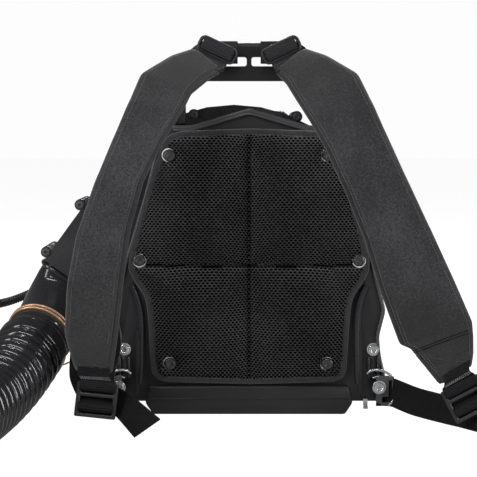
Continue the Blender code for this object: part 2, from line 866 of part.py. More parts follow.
def make_engine():
    front = CASE_Y[1] + GAP
    back = STARTER_Y[0] - GAP
    half_width = 0.05
    underside = 0.155
    half_chamber = 0.014
    crankcase = box(
        "crankcase",
        (FAN_X - half_width, front, underside),
        (FAN_X + half_width, back, CYLINDER_BASE - GAP),
        (ALUMINIUM, 0.5, 0.8),
    )
    bevel(crankcase, 0.008, 2)
    chamber = cylinder(
        "crank_chamber",
        WEB_RADIUS + 0.003,
        (FAN_X, CYLINDER_Y - half_chamber, FAN_Z),
        (FAN_X, CYLINDER_Y + half_chamber, FAN_Z),
        sides=40,
    )
    shaft_hole = cylinder(
        "crankcase_shaft_hole",
        SHAFT_RADIUS + GAP,
        (FAN_X, front - 0.01, FAN_Z),
        (FAN_X, back + 0.01, FAN_Z),
        sides=24,
    )
    throat = cylinder(
        "crankcase_throat",
        BORE_RADIUS,
        (FAN_X, CYLINDER_Y, FAN_Z + 0.02),
        (FAN_X, CYLINDER_Y, CYLINDER_BASE + 0.01),
        sides=32,
    )
    cut(crankcase, chamber, shaft_hole, throat)

    fins = 5
    pitch = 0.0125
    barrel = 0.0305
    profile = [(BORE_RADIUS, 0.0), (BORE_RADIUS, 0.068), (0.006, 0.074), (0.006, CYLINDER_HEIGHT)]
    top = CYLINDER_HEIGHT
    for i in range(fins):
        high = top - i * pitch
        profile += [(FIN_RADIUS, high), (FIN_RADIUS, high - 0.003)]
        profile += [(barrel, high - 0.003), (barrel, high - pitch)]
    profile += [(FIN_RADIUS - 0.008, top - fins * pitch), (FIN_RADIUS - 0.008, 0.0)]
    turned(
        "cylinder",
        profile,
        (FAN_X, CYLINDER_Y, CYLINDER_BASE),
        (0.0, 0.0, 1.0),
        (ALUMINIUM, 0.45, 0.9),
        sides=24,
    )
    piston_base = 0.02
    turned(
        "piston",
        [
            (0.0, 0.026),
            (BORE_RADIUS - GAP, 0.026),
            (BORE_RADIUS - GAP, 0.0),
            (0.0185, 0.0),
            (0.0185, 0.018),
            (0.0, 0.018),
        ],
        (FAN_X, CYLINDER_Y, CYLINDER_BASE + piston_base),
        (0.0, 0.0, 1.0),
        (ALUMINIUM, 0.3, 1.0),
        sides=28,
    )


def make_starter():
    front, back = STARTER_Y
    wall = 0.003
    rope_z = FAN_Z + PULLEY_RADIUS - 0.006
    grip_x = -0.0835
    housing = turned(
        "starter_housing",
        [
            (0.0, 0.0),
            (STARTER_RADIUS - 0.012, 0.0),
            (STARTER_RADIUS, -0.01),
            (STARTER_RADIUS, front - back),
            (STARTER_RADIUS - wall, front - back),
            (STARTER_RADIUS - wall, -0.012),
            (STARTER_RADIUS - 0.014, -wall),
            (0.0062, -wall),
            (0.0062, -0.028),
            (0.0, -0.028),
        ],
        (FAN_X, back, FAN_Z),
        (0.0, 1.0, 0.0),
        PLASTIC,
        sides=30,
    )
    slots = 10
    for i in range(slots):
        angle = 2 * math.pi * (i + 0.5) / slots
        inner = Vector((FAN_X, 0.0, FAN_Z)) + 0.022 * Vector((math.cos(angle), 0.0, math.sin(angle)))
        louvre = box(f"starter_louvre_{i}", (0.0, -0.02, -0.0025), (0.03, 0.02, 0.0025))
        turn = Matrix.Rotation(-angle, 4, "Y")
        shift = Matrix.Translation(louvre.location)
        louvre.matrix_world = Matrix.Translation((inner.x, back, inner.z)) @ turn @ shift
        cut(housing, louvre)
    eyelet = cylinder(
        "starter_eyelet",
        0.004,
        (FAN_X - 0.05, 0.1, rope_z),
        (FAN_X - 0.1, 0.1, rope_z),
        sides=12,
    )
    cut(housing, eyelet)
    turned(
        "starter_pulley",
        [
            (PULLEY_RADIUS, 0.007),
            (PULLEY_RADIUS, 0.0045),
            (PULLEY_RADIUS - 0.006, 0.0035),
            (PULLEY_RADIUS - 0.006, -0.0035),
            (PULLEY_RADIUS, -0.0045),
            (PULLEY_RADIUS, -0.007),
            (0.0066, -0.007),
            (0.0066, 0.007),
        ],
        (FAN_X, 0.11, FAN_Z),
        (0.0, 1.0, 0.0),
        GLOSS,
        sides=32,
    )
    grip = plate(
        "starter_grip",
        [
            (grip_x, rope_z + 0.0065),
            (grip_x - 0.012, rope_z + 0.0065),
            (grip_x - 0.016, rope_z + 0.022),
            (grip_x - 0.028, rope_z + 0.024),
            (grip_x - 0.031, rope_z),
            (grip_x - 0.028, rope_z - 0.024),
            (grip_x - 0.016, rope_z - 0.022),
            (grip_x - 0.012, rope_z - 0.0065),
            (grip_x, rope_z - 0.0065),
        ],
        0.0935,
        0.1065,
        GLOSS,
    )
    bevel(grip, 0.0025, 2)


def make_fuel():
    tank = box("fuel_tank", (-0.112, 0.0, TRAY_FLOOR + GAP), (0.112, 0.115, TANK_TOP), (CHARCOAL, 0.35))
    bevel(tank, 0.012, 3)
    neck_x, neck_y = FILLER
    neck = turned(
        "filler_neck",
        [(0.0, 0.012), (0.019, 0.012), (0.019, -0.006), (0.0, -0.006)],
        (neck_x, neck_y, TANK_TOP),
        (0.0, 0.0, 1.0),
        sides=28,
    )
    bore = cylinder(
        "filler_bore",
        0.0155,
        (neck_x, neck_y, TANK_TOP - 0.03),
        (neck_x, neck_y, TANK_TOP + 0.03),
        sides=28,
    )
    join(tank, neck)
    cut(tank, bore)
    turned(
        "fuel_cap",
        [
            (0.0, 0.018),
            (0.021, 0.018),
            (0.0245, 0.0145),
            (0.0245, 0.0),
            (0.0195, 0.0),
            (0.0195, 0.0126),
            (0.0, 0.0126),
        ],
        (neck_x, neck_y, TANK_TOP + GAP),
        (0.0, 0.0, 1.0),
        GLOSS,
        sides=24,
    )


def make_engine_side():
    left = FAN_X - FIN_RADIUS - GAP
    carburettor = box(
        "carburettor",
        (-0.128, 0.012, 0.272),
        (left, 0.058, 0.318),
        (ALUMINIUM, 0.5, 0.9),
    )
    bevel(carburettor, 0.004, 2)
    throttle_bore = cylinder(
        "intake_bore",
        0.0105,
        (-0.14, 0.035, 0.295),
        (left + 0.01, 0.035, 0.295),
        sides=20,
    )
    bulb_x, bulb_y, bulb_z = PRIMER
    bulb_room = cylinder(
        "bulb_room",
        0.0115,
        (bulb_x, bulb_y - 0.0058, bulb_z),
        (bulb_x, bulb_y + 0.012, bulb_z),
        sides=20,
    )
    choke_hole = cylinder("choke_hole", 0.0027, (*CHOKE, 0.31), (*CHOKE, 0.33), sides=12)
    cut(carburettor, throttle_bore, choke_hole, bulb_room)
    cover = box("air_filter_cover", (-0.19, -0.002, 0.235), (-0.1285, 0.085, 0.345), PLASTIC)
    bevel(cover, 0.014, 3)
    hollow = box("filter_room", (-0.186, 0.002, 0.239), (-0.12, 0.081, 0.341))
    bevel(hollow, 0.012, 3)
    cut(cover, hollow)
    lever = plate(
        "choke_lever",
        [(-0.117, 0.3215), (-0.103, 0.3215), (-0.103, 0.325), (-0.117, 0.325)],
        0.028,
        0.082,
        GLOSS,
    )
    bevel(lever, 0.0012, 1)
    pin = cylinder("choke_pin", 0.0024, (*CHOKE, 0.313), (*CHOKE, 0.3235), sides=12)
    join(lever, pin)
    turned(
        "primer_bulb",
        [(0.0, 0.0105), (0.006, 0.0095), (0.0095, 0.006), (0.011, 0.0), (0.0, 0.0)],
        PRIMER,
        (0.0, 1.0, 0.0),
        ((0.35, 0.05, 0.03), 0.3),
        sides=20,
    )
    right = FAN_X + FIN_RADIUS + GAP
    muffler = box("muffler", (right, -0.001, 0.262), (0.112, 0.078, 0.346), (CHARCOAL, 0.6, 0.8))
    bevel(muffler, 0.009, 2)
    outlet = cylinder("muffler_outlet", 0.008, (0.1, 0.055, 0.325), (0.13, 0.055, 0.325), sides=20)
    cut(muffler, outlet)
    shroud_top = 0.392
    hood = box("engine_cover", (-0.066, -0.002, 0.347), (0.056, 0.095, shroud_top), PLASTIC)
    bevel(hood, 0.012, 3)
    hood_room = box("hood_room", (-0.062, 0.002, 0.33), (0.052, 0.091, shroud_top - 0.004))
    bevel(hood_room, 0.009, 2)
    cut(hood, hood_room)


def make_mounts():
    """Rubber buffers that carry the fan case on the frame."""
    rubber = (BLACK, 0.85)
    cylinder(
        "mount_upper",
        0.013,
        (FAN_X, PLATE_FRONT + PLATE_WALL + GAP, 0.335),
        (FAN_X, CASE_Y[0] - GAP, 0.335),
        rubber,
        sides=16,
    )
    for side, tag in ((-1, "left"), (1, "right")):
        cylinder(
            f"mount_lower_{tag}",
            0.013,
            (side * 0.07, -0.022, TRAY_FLOOR + GAP),
            (side * 0.07, -0.022, 0.03 - GAP),
            rubber,
            sides=16,
        )


# ---------------------------------------------------------------- air duct, hose and wand
def rounded(half_width, half_height, power=1.0):
    """A function from an angle to a point on an ellipse or, at a low power, a rounded rectangle."""

    def point(angle):
        c = math.cos(angle)
        s = math.sin(angle)
        return (
            half_width * math.copysign(abs(c) ** power, c),
            half_height * math.copysign(abs(s) ** power, s),
        )

    return point


def bend(start, start_axis, end, end_axis, count):
    """Points and axes along a cubic bend between two given ends."""
    reach = (end - start).length / 2.4
    control = (start, start + start_axis * reach, end - end_axis * reach, end)
    made = []
    for i in range(count + 1):
        t = i / count
        u = 1 - t
        point = (
            control[0] * u**3
            + control[1] * 3 * u * u * t
            + control[2] * 3 * u * t * t
            + control[3] * t**3
        )
        slope = (
            (control[1] - control[0]) * u * u
            + (control[2] - control[1]) * 2 * u * t
            + (control[3] - control[2]) * t * t
        )
        made.append((point, slope.normalized()))
    return made


def outlet_place():
    """The centre of the scroll's outlet and the way the air leaves."""
    outward = Vector((math.cos(OUTLET_ANGLE), 0.0, math.sin(OUTLET_ANGLE)))
    onward = Vector((-math.sin(OUTLET_ANGLE), 0.0, math.cos(OUTLET_ANGLE)))
    centre = Vector((FAN_X, (CASE_Y[0] + CASE_Y[1]) / 2, FAN_Z))
    middle = VOLUTE_END_RADIUS - OUTLET_WIDTH / 2
    return centre + outward * middle + onward * (OUTLET_LENGTH + 0.0025), onward


def hose_bend(count):
    return bend(ELBOW_END + ELBOW_END_AXIS * CUFF_LENGTH, ELBOW_END_AXIS, HOSE_END, WAND_AXIS, count)


def make_duct():
    start, onward = outlet_place()
    half_depth = (CASE_Y[1] - CASE_Y[0]) / 2
    steps = 8
    rings = []
    for i, (point, axis) in enumerate(bend(start, onward, ELBOW_END, ELBOW_END_AXIS, steps)):
        t = i / steps
        ease = t * t * (3 - 2 * t)
        across = half_depth * (1 - ease) + ELBOW_RADIUS * ease
        upright = OUTLET_WIDTH / 2 * (1 - ease) + ELBOW_RADIUS * ease
        rings.append((point, axis, rounded(across, upright, 0.45 + 0.55 * ease)))
    pipe("outlet_elbow", rings, DUCT_WALL, GLOSS, 24)

    clamp_centre = ELBOW_END - ELBOW_END_AXIS * 0.008
    turned(
        "elbow_clamp",
        [
            (CLAMP_RADIUS, 0.0022),
            (CLAMP_RADIUS + 0.0016, 0.0),
            (CLAMP_RADIUS, -0.0022),
            (CLAMP_RADIUS - 0.0012, -0.0022),
            (CLAMP_RADIUS - 0.0012, 0.0022),
        ],
        clamp_centre,
        ELBOW_END_AXIS,
        (COPPER, 0.3, 1.0),
        sides=36,
    )
    hose = hose_bend(10)
    cuff_start = ELBOW_END + ELBOW_END_AXIS * GAP
    cuff = [
        (cuff_start, ELBOW_END_AXIS, rounded(0.0405, 0.0405)),
        (cuff_start + ELBOW_END_AXIS * (CUFF_LENGTH - 3 * GAP), ELBOW_END_AXIS, rounded(0.043, 0.043)),
    ]
    pipe("hose_cuff", cuff, DUCT_WALL, GLOSS, 24)
    wall = HOSE_RADIUS - HOSE_BORE
    rings = [(point, axis, rounded(HOSE_RADIUS, HOSE_RADIUS)) for point, axis in hose]
    pipe("flex_hose", rings, wall, GLOSS)


def on_wand(distance, across=0.0, up=0.0):
    """A point in the wand's own frame: along its axis, to its right and above it."""
    side = WAND_AXIS.cross(Vector((0.0, 0.0, 1.0))).normalized()
    top = side.cross(WAND_AXIS).normalized()
    return HOSE_END + WAND_AXIS * distance + side * across + top * up


def wand_pipe(name, stations, wall, finish, sides=24):
    rings = [(on_wand(d), WAND_AXIS, rounded(r, r)) for d, r in stations]
    return pipe(name, rings, wall, finish, sides)


def wand_outline(name, points, width, finish=None, across=0.0):
    """A flat shape in the wand's upright plane, points as (along, up) from the wand's start."""
    obj = plate(name, points, -width / 2, width / 2, finish)
    side = WAND_AXIS.cross(Vector((0.0, 0.0, 1.0))).normalized()
    top = side.cross(WAND_AXIS).normalized()
    basis = Matrix((WAND_AXIS, top, side)).transposed().to_4x4()
    basis.translation = HOSE_END + side * across
    obj.matrix_world = basis
    return obj


def make_grip():
    """A pistol grip on a saddle, with the throttle trigger, the cruise lever and the stop switch."""
    saddle = CONTROL_RADIUS + GAP
    grip = wand_outline(
        "grip_handle",
        [
            (0.046, saddle),
            (0.046, 0.061),
            (0.07, 0.064),
            (0.082, 0.074),
            (0.084, 0.095),
            (0.078, 0.12),
            (0.072, 0.142),
            (0.08, 0.153),
            (0.1, 0.156),
            (0.128, 0.148),
            (0.134, 0.136),
            (0.128, 0.124),
            (0.122, 0.112),
            (0.12, 0.085),
            (0.126, 0.068),
            (0.146, saddle + 0.012),
            (0.16, saddle + 0.006),
            (0.16, saddle),
        ],
        GRIP_WIDTH,
        DARK_PLASTIC,
    )
    bevel(grip, 0.006, 3, 60)
    pocket = wand_outline(
        "trigger_pocket",
        [(0.106, 0.076), (0.106, 0.1225), (0.15, 0.1225), (0.15, 0.076)],
        TRIGGER_WIDTH + 0.0016,
    )
    slot = wand_outline(
        "switch_slot",
        [(0.086, 0.1515), (0.086, 0.17), (0.108, 0.17), (0.108, 0.1515)],
        0.011,
    )
    cut(grip, pocket, slot)
    trigger = wand_outline(
        "throttle_trigger",
        [
            (0.11, 0.12),
            (0.126, 0.12),
            (0.133, 0.11),
            (0.138, 0.096),
            (0.1415, 0.082),
            (0.137, 0.08),
            (0.13, 0.091),
            (0.121, 0.1),
            (0.11, 0.104),
        ],
        TRIGGER_WIDTH,
        GLOSS,
    )
    bevel(trigger, 0.0015, 1)
    lever = wand_outline(
        "cruise_lever",
        [
            (0.104, 0.116),
            (0.104, 0.128),
            (0.112, 0.132),
            (0.119, 0.128),
            (0.119, 0.12),
            (0.1, 0.082),
            (0.094, 0.084),
        ],
        0.0045,
        (ORANGE, 0.35),
        across=-(GRIP_WIDTH / 2 + 0.0045 / 2 + 0.0006),
    )
    bevel(lever, 0.001, 1)
    switch = wand_outline(
        "stop_switch",
        [(0.089, 0.1518), (0.089, 0.158), (0.0965, 0.1565), (0.105, 0.161), (0.105, 0.1518)],
        0.0102,
        ((0.55, 0.02, 0.015), 0.35),
    )
    bevel(switch, 0.0008, 1)


def make_conduit():
    """The throttle cable's ribbed sleeve: it bows out beside the hose and ends in the grip."""
    out = (
        (-0.262, 0.012, 0.172),
        (-0.29, 0.014, 0.147),
        (-0.325, 0.008, 0.131),
        (-0.362, -0.03, 0.124),
        (-0.39, -0.11, 0.112),
        (-0.403, -0.2, 0.096),
        (-0.4, -0.29, 0.094),
        (-0.386, -0.36, 0.104),
    )
    tube("throttle_conduit_bow", out, CONDUIT_RADIUS, GLOSS)
    start = Vector(out[-1])
    onward = (start - Vector(out[-2])).normalized()
    entry = 0.0525
    front = (
        start + onward * 0.0016,
        start + onward * 0.018,
        on_wand(0.002, 0.016, 0.06),
        on_wand(0.03, 0.002, entry + 0.002),
        on_wand(0.0445, 0.0, entry),
    )
    tube("throttle_conduit_front", front, CONDUIT_RADIUS, GLOSS)


def make_wand():
    clearance = 0.0015  # between one tube's end and the next
    wand_pipe("wand_clamp", [(-0.009, 0.0482), (0.0, 0.0482)], 0.0019, ZINC_PLATED, 28)
    stations = [
        (GAP, TUBE_END_RADIUS),
        (0.016, TUBE_END_RADIUS),
        (0.024, CONTROL_RADIUS),
        (CONTROL_LENGTH, CONTROL_RADIUS),
    ]
    wand_pipe("control_tube", stations, DUCT_WALL, PLASTIC)
    start = CONTROL_LENGTH + clearance
    collar = 0.0395
    stations = [
        (start, collar),
        (start + 0.03, collar),
        (start + 0.036, BLOWER_TUBE_RADIUS),
        (start + BLOWER_TUBE_LENGTH, BLOWER_TUBE_RADIUS),
    ]
    wand_pipe("blower_tube", stations, DUCT_WALL, PLASTIC)
    start += BLOWER_TUBE_LENGTH + clearance
    stations = [
        (start, 0.037),
        (start + 0.035, 0.037),
        (start + 0.045, 0.0335),
        (start + NOZZLE_LENGTH * 0.6, NOZZLE_END_RADIUS + 0.003),
        (start + NOZZLE_LENGTH - 0.02, NOZZLE_END_RADIUS),
        (start + NOZZLE_LENGTH, NOZZLE_END_RADIUS + 0.003),
    ]
    wand_pipe("nozzle", stations, DUCT_WALL, PLASTIC)


def make_pivots():
    """An empty on each joint's axis, with the pieces that turn or slide there as its children."""
    bpy.context.view_layer.update()
    hose = hose_bend(4)
    pivots = {
        "rotor_pivot": ((FAN_X, 0.0, FAN_Z), ("impeller", "crankshaft")),
        "piston_guide": ((FAN_X, CYLINDER_Y, CYLINDER_BASE), ("piston",)),
        "pull_guide": ((FAN_X, 0.1, FAN_Z + PULLEY_RADIUS - 0.006), ("starter_grip",)),
        "pulley_pivot": ((FAN_X, 0.11, FAN_Z), ("starter_pulley",)),
        "choke_pivot": ((*CHOKE, 0.3215), ("choke_lever",)),
        "primer_guide": (PRIMER, ("primer_bulb",)),
        "cap_pivot": ((*FILLER, TANK_TOP), ("fuel_cap",)),
        "hose_yaw_pivot": (hose[1][0], ("flex_hose", "throttle_conduit_bow")),
        "hose_pitch_pivot": (
            hose[3][0],
            (
                "wand_clamp",
                "control_tube",
                "grip_handle",
                "blower_tube",
                "nozzle",
                "throttle_conduit_front",
            ),
        ),
        "trigger_pivot": (on_wand(TRIGGER_PIVOT[0], 0.0, TRIGGER_PIVOT[1]), ("throttle_trigger",)),
        "cruise_pivot": (on_wand(LEVER_PIVOT[0], 0.0, LEVER_PIVOT[1]), ("cruise_lever",)),
        "switch_guide": (on_wand(0.097, 0.0, 0.1518), ("stop_switch",)),
    }
    for name, (place, children) in pivots.items():
        pivot = bpy.data.objects.new(name, None)
        pivot.empty_display_size = 0.02
        PARTS.objects.link(pivot)
        pivot.location = place
        for child in children:
            moving = bpy.data.objects[child]
            moving.parent = pivot
            moving.matrix_parent_inverse = Matrix.Translation(-Vector(place))


def make_all():
    make_back_plate()
    make_handle()
    make_pad()
    make_harness()
    make_brackets()
    make_fan()
    make_rotor()
    make_engine()
    make_starter()
    make_fuel()
    make_engine_side()
    make_mounts()
    make_duct()
    make_wand()
    make_grip()
    make_conduit()
    make_pivots()


make_all()
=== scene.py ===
"""Looks of the backpack leaf blower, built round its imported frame. Metres, +Z up, -Y towards the wearer."""

import math

import bmesh
import bpy
from mathutils import Matrix, Vector, noise
from mathutils.bvhtree import BVHTree


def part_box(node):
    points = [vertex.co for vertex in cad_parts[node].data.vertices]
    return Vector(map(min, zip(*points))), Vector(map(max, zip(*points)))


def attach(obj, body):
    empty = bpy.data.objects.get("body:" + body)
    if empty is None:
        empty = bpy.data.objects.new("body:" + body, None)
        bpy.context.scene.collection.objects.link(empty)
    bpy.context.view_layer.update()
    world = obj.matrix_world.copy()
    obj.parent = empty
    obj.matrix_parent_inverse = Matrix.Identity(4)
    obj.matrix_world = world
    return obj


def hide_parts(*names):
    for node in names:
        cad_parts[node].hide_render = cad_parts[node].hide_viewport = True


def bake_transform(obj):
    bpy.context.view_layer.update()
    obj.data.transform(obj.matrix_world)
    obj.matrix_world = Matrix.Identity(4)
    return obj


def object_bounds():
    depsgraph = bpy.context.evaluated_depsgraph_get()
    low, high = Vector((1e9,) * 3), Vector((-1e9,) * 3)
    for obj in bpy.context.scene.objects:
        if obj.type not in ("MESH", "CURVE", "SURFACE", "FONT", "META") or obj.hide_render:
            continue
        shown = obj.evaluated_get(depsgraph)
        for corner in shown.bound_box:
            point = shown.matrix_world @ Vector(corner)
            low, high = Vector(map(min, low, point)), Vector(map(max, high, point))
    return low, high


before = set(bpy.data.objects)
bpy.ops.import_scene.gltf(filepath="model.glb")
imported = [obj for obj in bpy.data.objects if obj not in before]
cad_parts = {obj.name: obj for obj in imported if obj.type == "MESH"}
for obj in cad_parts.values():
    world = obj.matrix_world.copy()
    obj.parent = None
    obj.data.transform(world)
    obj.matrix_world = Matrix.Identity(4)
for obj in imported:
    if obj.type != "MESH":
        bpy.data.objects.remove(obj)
CAD_LOW, CAD_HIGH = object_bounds()
UP = Vector((0.0, 0.0, 1.0))
FRONT = Vector((0.0, -1.0, 0.0))
BACK = Vector((0.0, 1.0, 0.0))
SIDES = {"right": 1, "left": -1}


# ---- camera, floor and light
CAMERA_PLACE = Vector((-0.0135, -1.725, 0.36798))
CAMERA_TARGET = Vector((-0.0135, -0.125, 0.228))
CAMERA_LENS = 95.09


LIGHT_TARGET = Vector((0.0, -0.15, 0.22))
# name, place, size, power and whether gloss mirrors it
LIGHTS = (
    ("key", (-1.7, -2.15, 1.2), (0.7, 0.9), 66.0, False),
    ("fill", (2.1, -1.9, 0.9), (0.6, 1.3), 58.0, False),
    ("strip_left", (-1.5, -0.9, 0.75), (0.16, 1.5), 9.0, True),
    ("strip_right", (1.7, -0.75, 0.7), (0.16, 1.5), 13.0, True),
    ("glint_left", (-1.0, -2.0, 1.35), (0.2, 0.2), 3.0, True),
    ("glint_right", (1.3, -1.9, 0.55), (0.2, 0.2), 2.6, True),
    ("strip_top", (-0.5, -1.3, 2.1), (1.6, 0.14), 12.0, True),
    ("back_left", (-1.6, 1.9, 1.3), (0.9, 1.2), 26.0, False),
    ("back_right", (1.8, 1.6, 1.1), (0.7, 1.2), 20.0, False),
    ("strip_back", (0.3, 2.0, 1.5), (1.5, 0.14), 12.0, True),
)
# how strongly each lights the object, and how strongly the camera sees it
SURROUND_STRENGTH = (0.13, 0.98)
FLOOR_STRENGTH = (0.12, 0.93)
FLOOR_SIZE = 14.0
FLOOR_DROP = 0.0005
WHITE = (1.0, 1.0, 1.0, 1.0)


def link_object(name, data):
    obj = bpy.data.objects.new(name, data)
    bpy.context.scene.collection.objects.link(obj)
    return obj


def aim(obj, place, target):
    obj.location = place
    obj.rotation_euler = (Vector(target) - Vector(place)).to_track_quat("-Z", "Y").to_euler()


def make_camera():
    data = bpy.data.cameras.new("camera")
    data.lens = CAMERA_LENS
    data.sensor_width = 36.0
    data.clip_start = 0.05
    camera = link_object("camera", data)
    aim(camera, CAMERA_PLACE, CAMERA_TARGET)
    bpy.context.scene.camera = camera


def area_light(name, place, size, power, in_gloss, target=LIGHT_TARGET):
    data = bpy.data.lights.new(name, "AREA")
    data.shape = "RECTANGLE"
    data.size, data.size_y = size
    data.energy = power
    light = link_object(name, data)
    aim(light, place, target)
    light.visible_glossy = in_gloss


def seen_white(tree, socket, lighting, seen):
    """The surround shows as white, while what it lends to the light is dim."""
    path = add_node(tree, "ShaderNodeLightPath")
    tree.links.new(spread(tree, path.outputs["Is Camera Ray"], lighting, seen), socket)


def make_studio():
    """A white surround for the camera, a dim one for the light, and soft boxes round the object."""
    world = bpy.data.worlds.new("studio")
    world.use_nodes = True
    tree = world.node_tree
    background = tree.nodes["Background"]
    background.inputs["Color"].default_value = WHITE
    seen_white(tree, background.inputs["Strength"], *SURROUND_STRENGTH)
    scene = bpy.context.scene
    scene.world = world
    scene.view_settings.view_transform = "Standard"
    area_light("overhead", (0.0, 0.3, 3.0), (4.0, 4.0), 14.0, False, (0.0, 0.3, 0.0))
    for light in LIGHTS:
        area_light(*light)
    bm = bmesh.new()
    bmesh.ops.create_grid(bm, x_segments=1, y_segments=1, size=FLOOR_SIZE)
    mesh = bpy.data.meshes.new("floor")
    bm.to_mesh(mesh)
    bm.free()
    floor = link_object("floor", mesh)
    floor.location.z = CAD_LOW.z - FLOOR_DROP
    white, tree, shader = plain_material("floor_white", (0.22, 0.22, 0.22), 0.8)
    shader.inputs["Emission Color"].default_value = WHITE
    shader.inputs["Specular IOR Level"].default_value = 0.0
    seen_white(tree, shader.inputs["Emission Strength"], *FLOOR_STRENGTH)
    mesh.materials.append(white)


# ---- materials
def plain_material(name, color, roughness, metallic=0.0, coat=0.0, sheen=0.0):
    """A new material, with its node tree and its shader."""
    made = bpy.data.materials.new(name)
    made.use_nodes = True
    shader = made.node_tree.nodes["Principled BSDF"]
    shader.inputs["Base Color"].default_value = (*color, 1.0)
    shader.inputs["Roughness"].default_value = roughness
    shader.inputs["Metallic"].default_value = metallic
    shader.inputs["Coat Weight"].default_value = coat
    shader.inputs["Sheen Weight"].default_value = sheen
    if sheen:
        shader.inputs["Sheen Roughness"].default_value = 0.5
    return made, made.node_tree, shader


def add_node(tree, kind, values=None, **settings):
    """A shader node; each value is a number or color for its socket, or a socket to link to it."""
    made = tree.nodes.new(kind)
    for key, value in settings.items():
        setattr(made, key, value)
    for key, value in (values or {}).items():
        if isinstance(value, bpy.types.NodeSocket):
            tree.links.new(value, made.inputs[key])
        else:
            made.inputs[key].default_value = value
    return made


def math_node(tree, operation, first, second=0.0):
    return add_node(tree, "ShaderNodeMath", {0: first, 1: second}, operation=operation).outputs[0]


def weighed(tree, *parts):
    """The sum of values, each times its share."""
    total = None
    for value, share in parts:
        part = math_node(tree, "MULTIPLY", value, share)
        total = math_node(tree, "ADD", total, part) if total else part
    return total


def wave_over(tree, distance, pitch):
    """A sine wave along a distance, one turn in each pitch."""
    return math_node(tree, "SINE", math_node(tree, "MULTIPLY", distance, math.tau / pitch))


def color_between(tree, factor, low, high):
    ramp = add_node(tree, "ShaderNodeMix", data_type="RGBA")
    tree.links.new(factor, ramp.inputs["Factor"])
    ramp.inputs[6].default_value = (*low, 1.0)
    ramp.inputs[7].default_value = (*high, 1.0)
    return ramp.outputs[2]


def object_coordinates(tree):
    return add_node(tree, "ShaderNodeTexCoord").outputs["Object"]


def cloth_coordinates(tree):
    """Metres across and along the cloth, from the UV map that each loft lays."""
    return add_node(tree, "ShaderNodeTexCoord").outputs["UV"]


def noise_texture(tree, coordinates, scale, detail=2.0, roughness=0.5):
    values = {"Vector": coordinates, "Scale": scale, "Detail": detail, "Roughness": roughness}
    return add_node(tree, "ShaderNodeTexNoise", values).outputs["Fac"]


def spread(tree, value, low, high, start=0.0, end=1.0):
    """The value stretched from start..end to low..high, and held there beyond them."""
    values = {"Value": value, "From Min": start, "From Max": end, "To Min": low, "To Max": high}
    return add_node(tree, "ShaderNodeMapRange", values).outputs["Result"]


def bump_into(tree, height, distance):
    made = add_node(tree, "ShaderNodeBump", {"Height": height, "Distance": distance, "Strength": 1.0})
    tree.links.new(made.outputs["Normal"], tree.nodes["Principled BSDF"].inputs["Normal"])


def moulded_plastic(name, color, roughness, grain=0.00006, grain_scale=1400.0, coat=0.0):
    """Injection-moulded plastic: a fine grain, faint flow marks and an uneven gloss."""
    made, tree, shader = plain_material(name, color, roughness, coat=coat)
    place = object_coordinates(tree)
    cloud = noise_texture(tree, place, 22.0, 3.0)
    specks = noise_texture(tree, place, grain_scale, 2.0, 0.6)
    lighter = tuple(c * 1.5 + 0.002 for c in color)
    tree.links.new(color_between(tree, cloud, color, lighter), shader.inputs["Base Color"])
    mixed = weighed(tree, (cloud, 0.6), (specks, 0.4))
    tree.links.new(spread(tree, mixed, roughness - 0.09, roughness + 0.09), shader.inputs["Roughness"])
    bump_into(tree, specks, grain)
    return made


TWILL_PITCH = 0.0011
# painted shade on the strap cloth: none at this height, growing from the first distance above or below it to
# full at the second
PAINTED_SHADE_MIDDLE = 0.29
PAINTED_SHADE_START = 0.05
PAINTED_SHADE_FULL = 0.13


def woven_cloth(name, low, high, pitch, depth, heather=240.0, painted_shade=0.0):
    """A plain weave with the given thread pitch in metres, and faint heathering of the yarn.

    Painted shade darkens it by that share, more and more above and below a middle height, towards the straps'
    top and bottom ends.
    """
    roughness = 0.85
    made, tree, shader = plain_material(name, low, roughness, sheen=0.25)
    shader.inputs["Specular IOR Level"].default_value = 0.15
    parts = add_node(tree, "ShaderNodeSeparateXYZ", {"Vector": cloth_coordinates(tree)})
    weft = wave_over(tree, parts.outputs["X"], pitch)
    warp = wave_over(tree, parts.outputs["Y"], pitch)
    height = spread(tree, math_node(tree, "MULTIPLY", weft, warp), 0.25, 0.75)
    yarn = noise_texture(tree, object_coordinates(tree), heather, 4.0, 0.65)
    patch = noise_texture(tree, object_coordinates(tree), 14.0, 2.0)
    tone = weighed(tree, (yarn, 0.55), (patch, 0.25), (height, 0.2))
    tone = spread(tree, tone, 0.0, 1.0, 0.38, 0.62)
    # painted shade: the cloth is darkened away from the middle height of the straps
    if painted_shade:
        place = add_node(tree, "ShaderNodeSeparateXYZ", {"Vector": object_coordinates(tree)})
        away = math_node(tree, "ABSOLUTE", math_node(tree, "SUBTRACT", place.outputs["Z"], PAINTED_SHADE_MIDDLE))
        tone = math_node(tree, "SUBTRACT", tone, spread(tree, away, 0.0, painted_shade, PAINTED_SHADE_START, PAINTED_SHADE_FULL))
    tree.links.new(color_between(tree, tone, low, high), shader.inputs["Base Color"])
    tree.links.new(spread(tree, yarn, roughness - 0.08, roughness + 0.08), shader.inputs["Roughness"])
    bump_into(tree, height, depth)
    return made


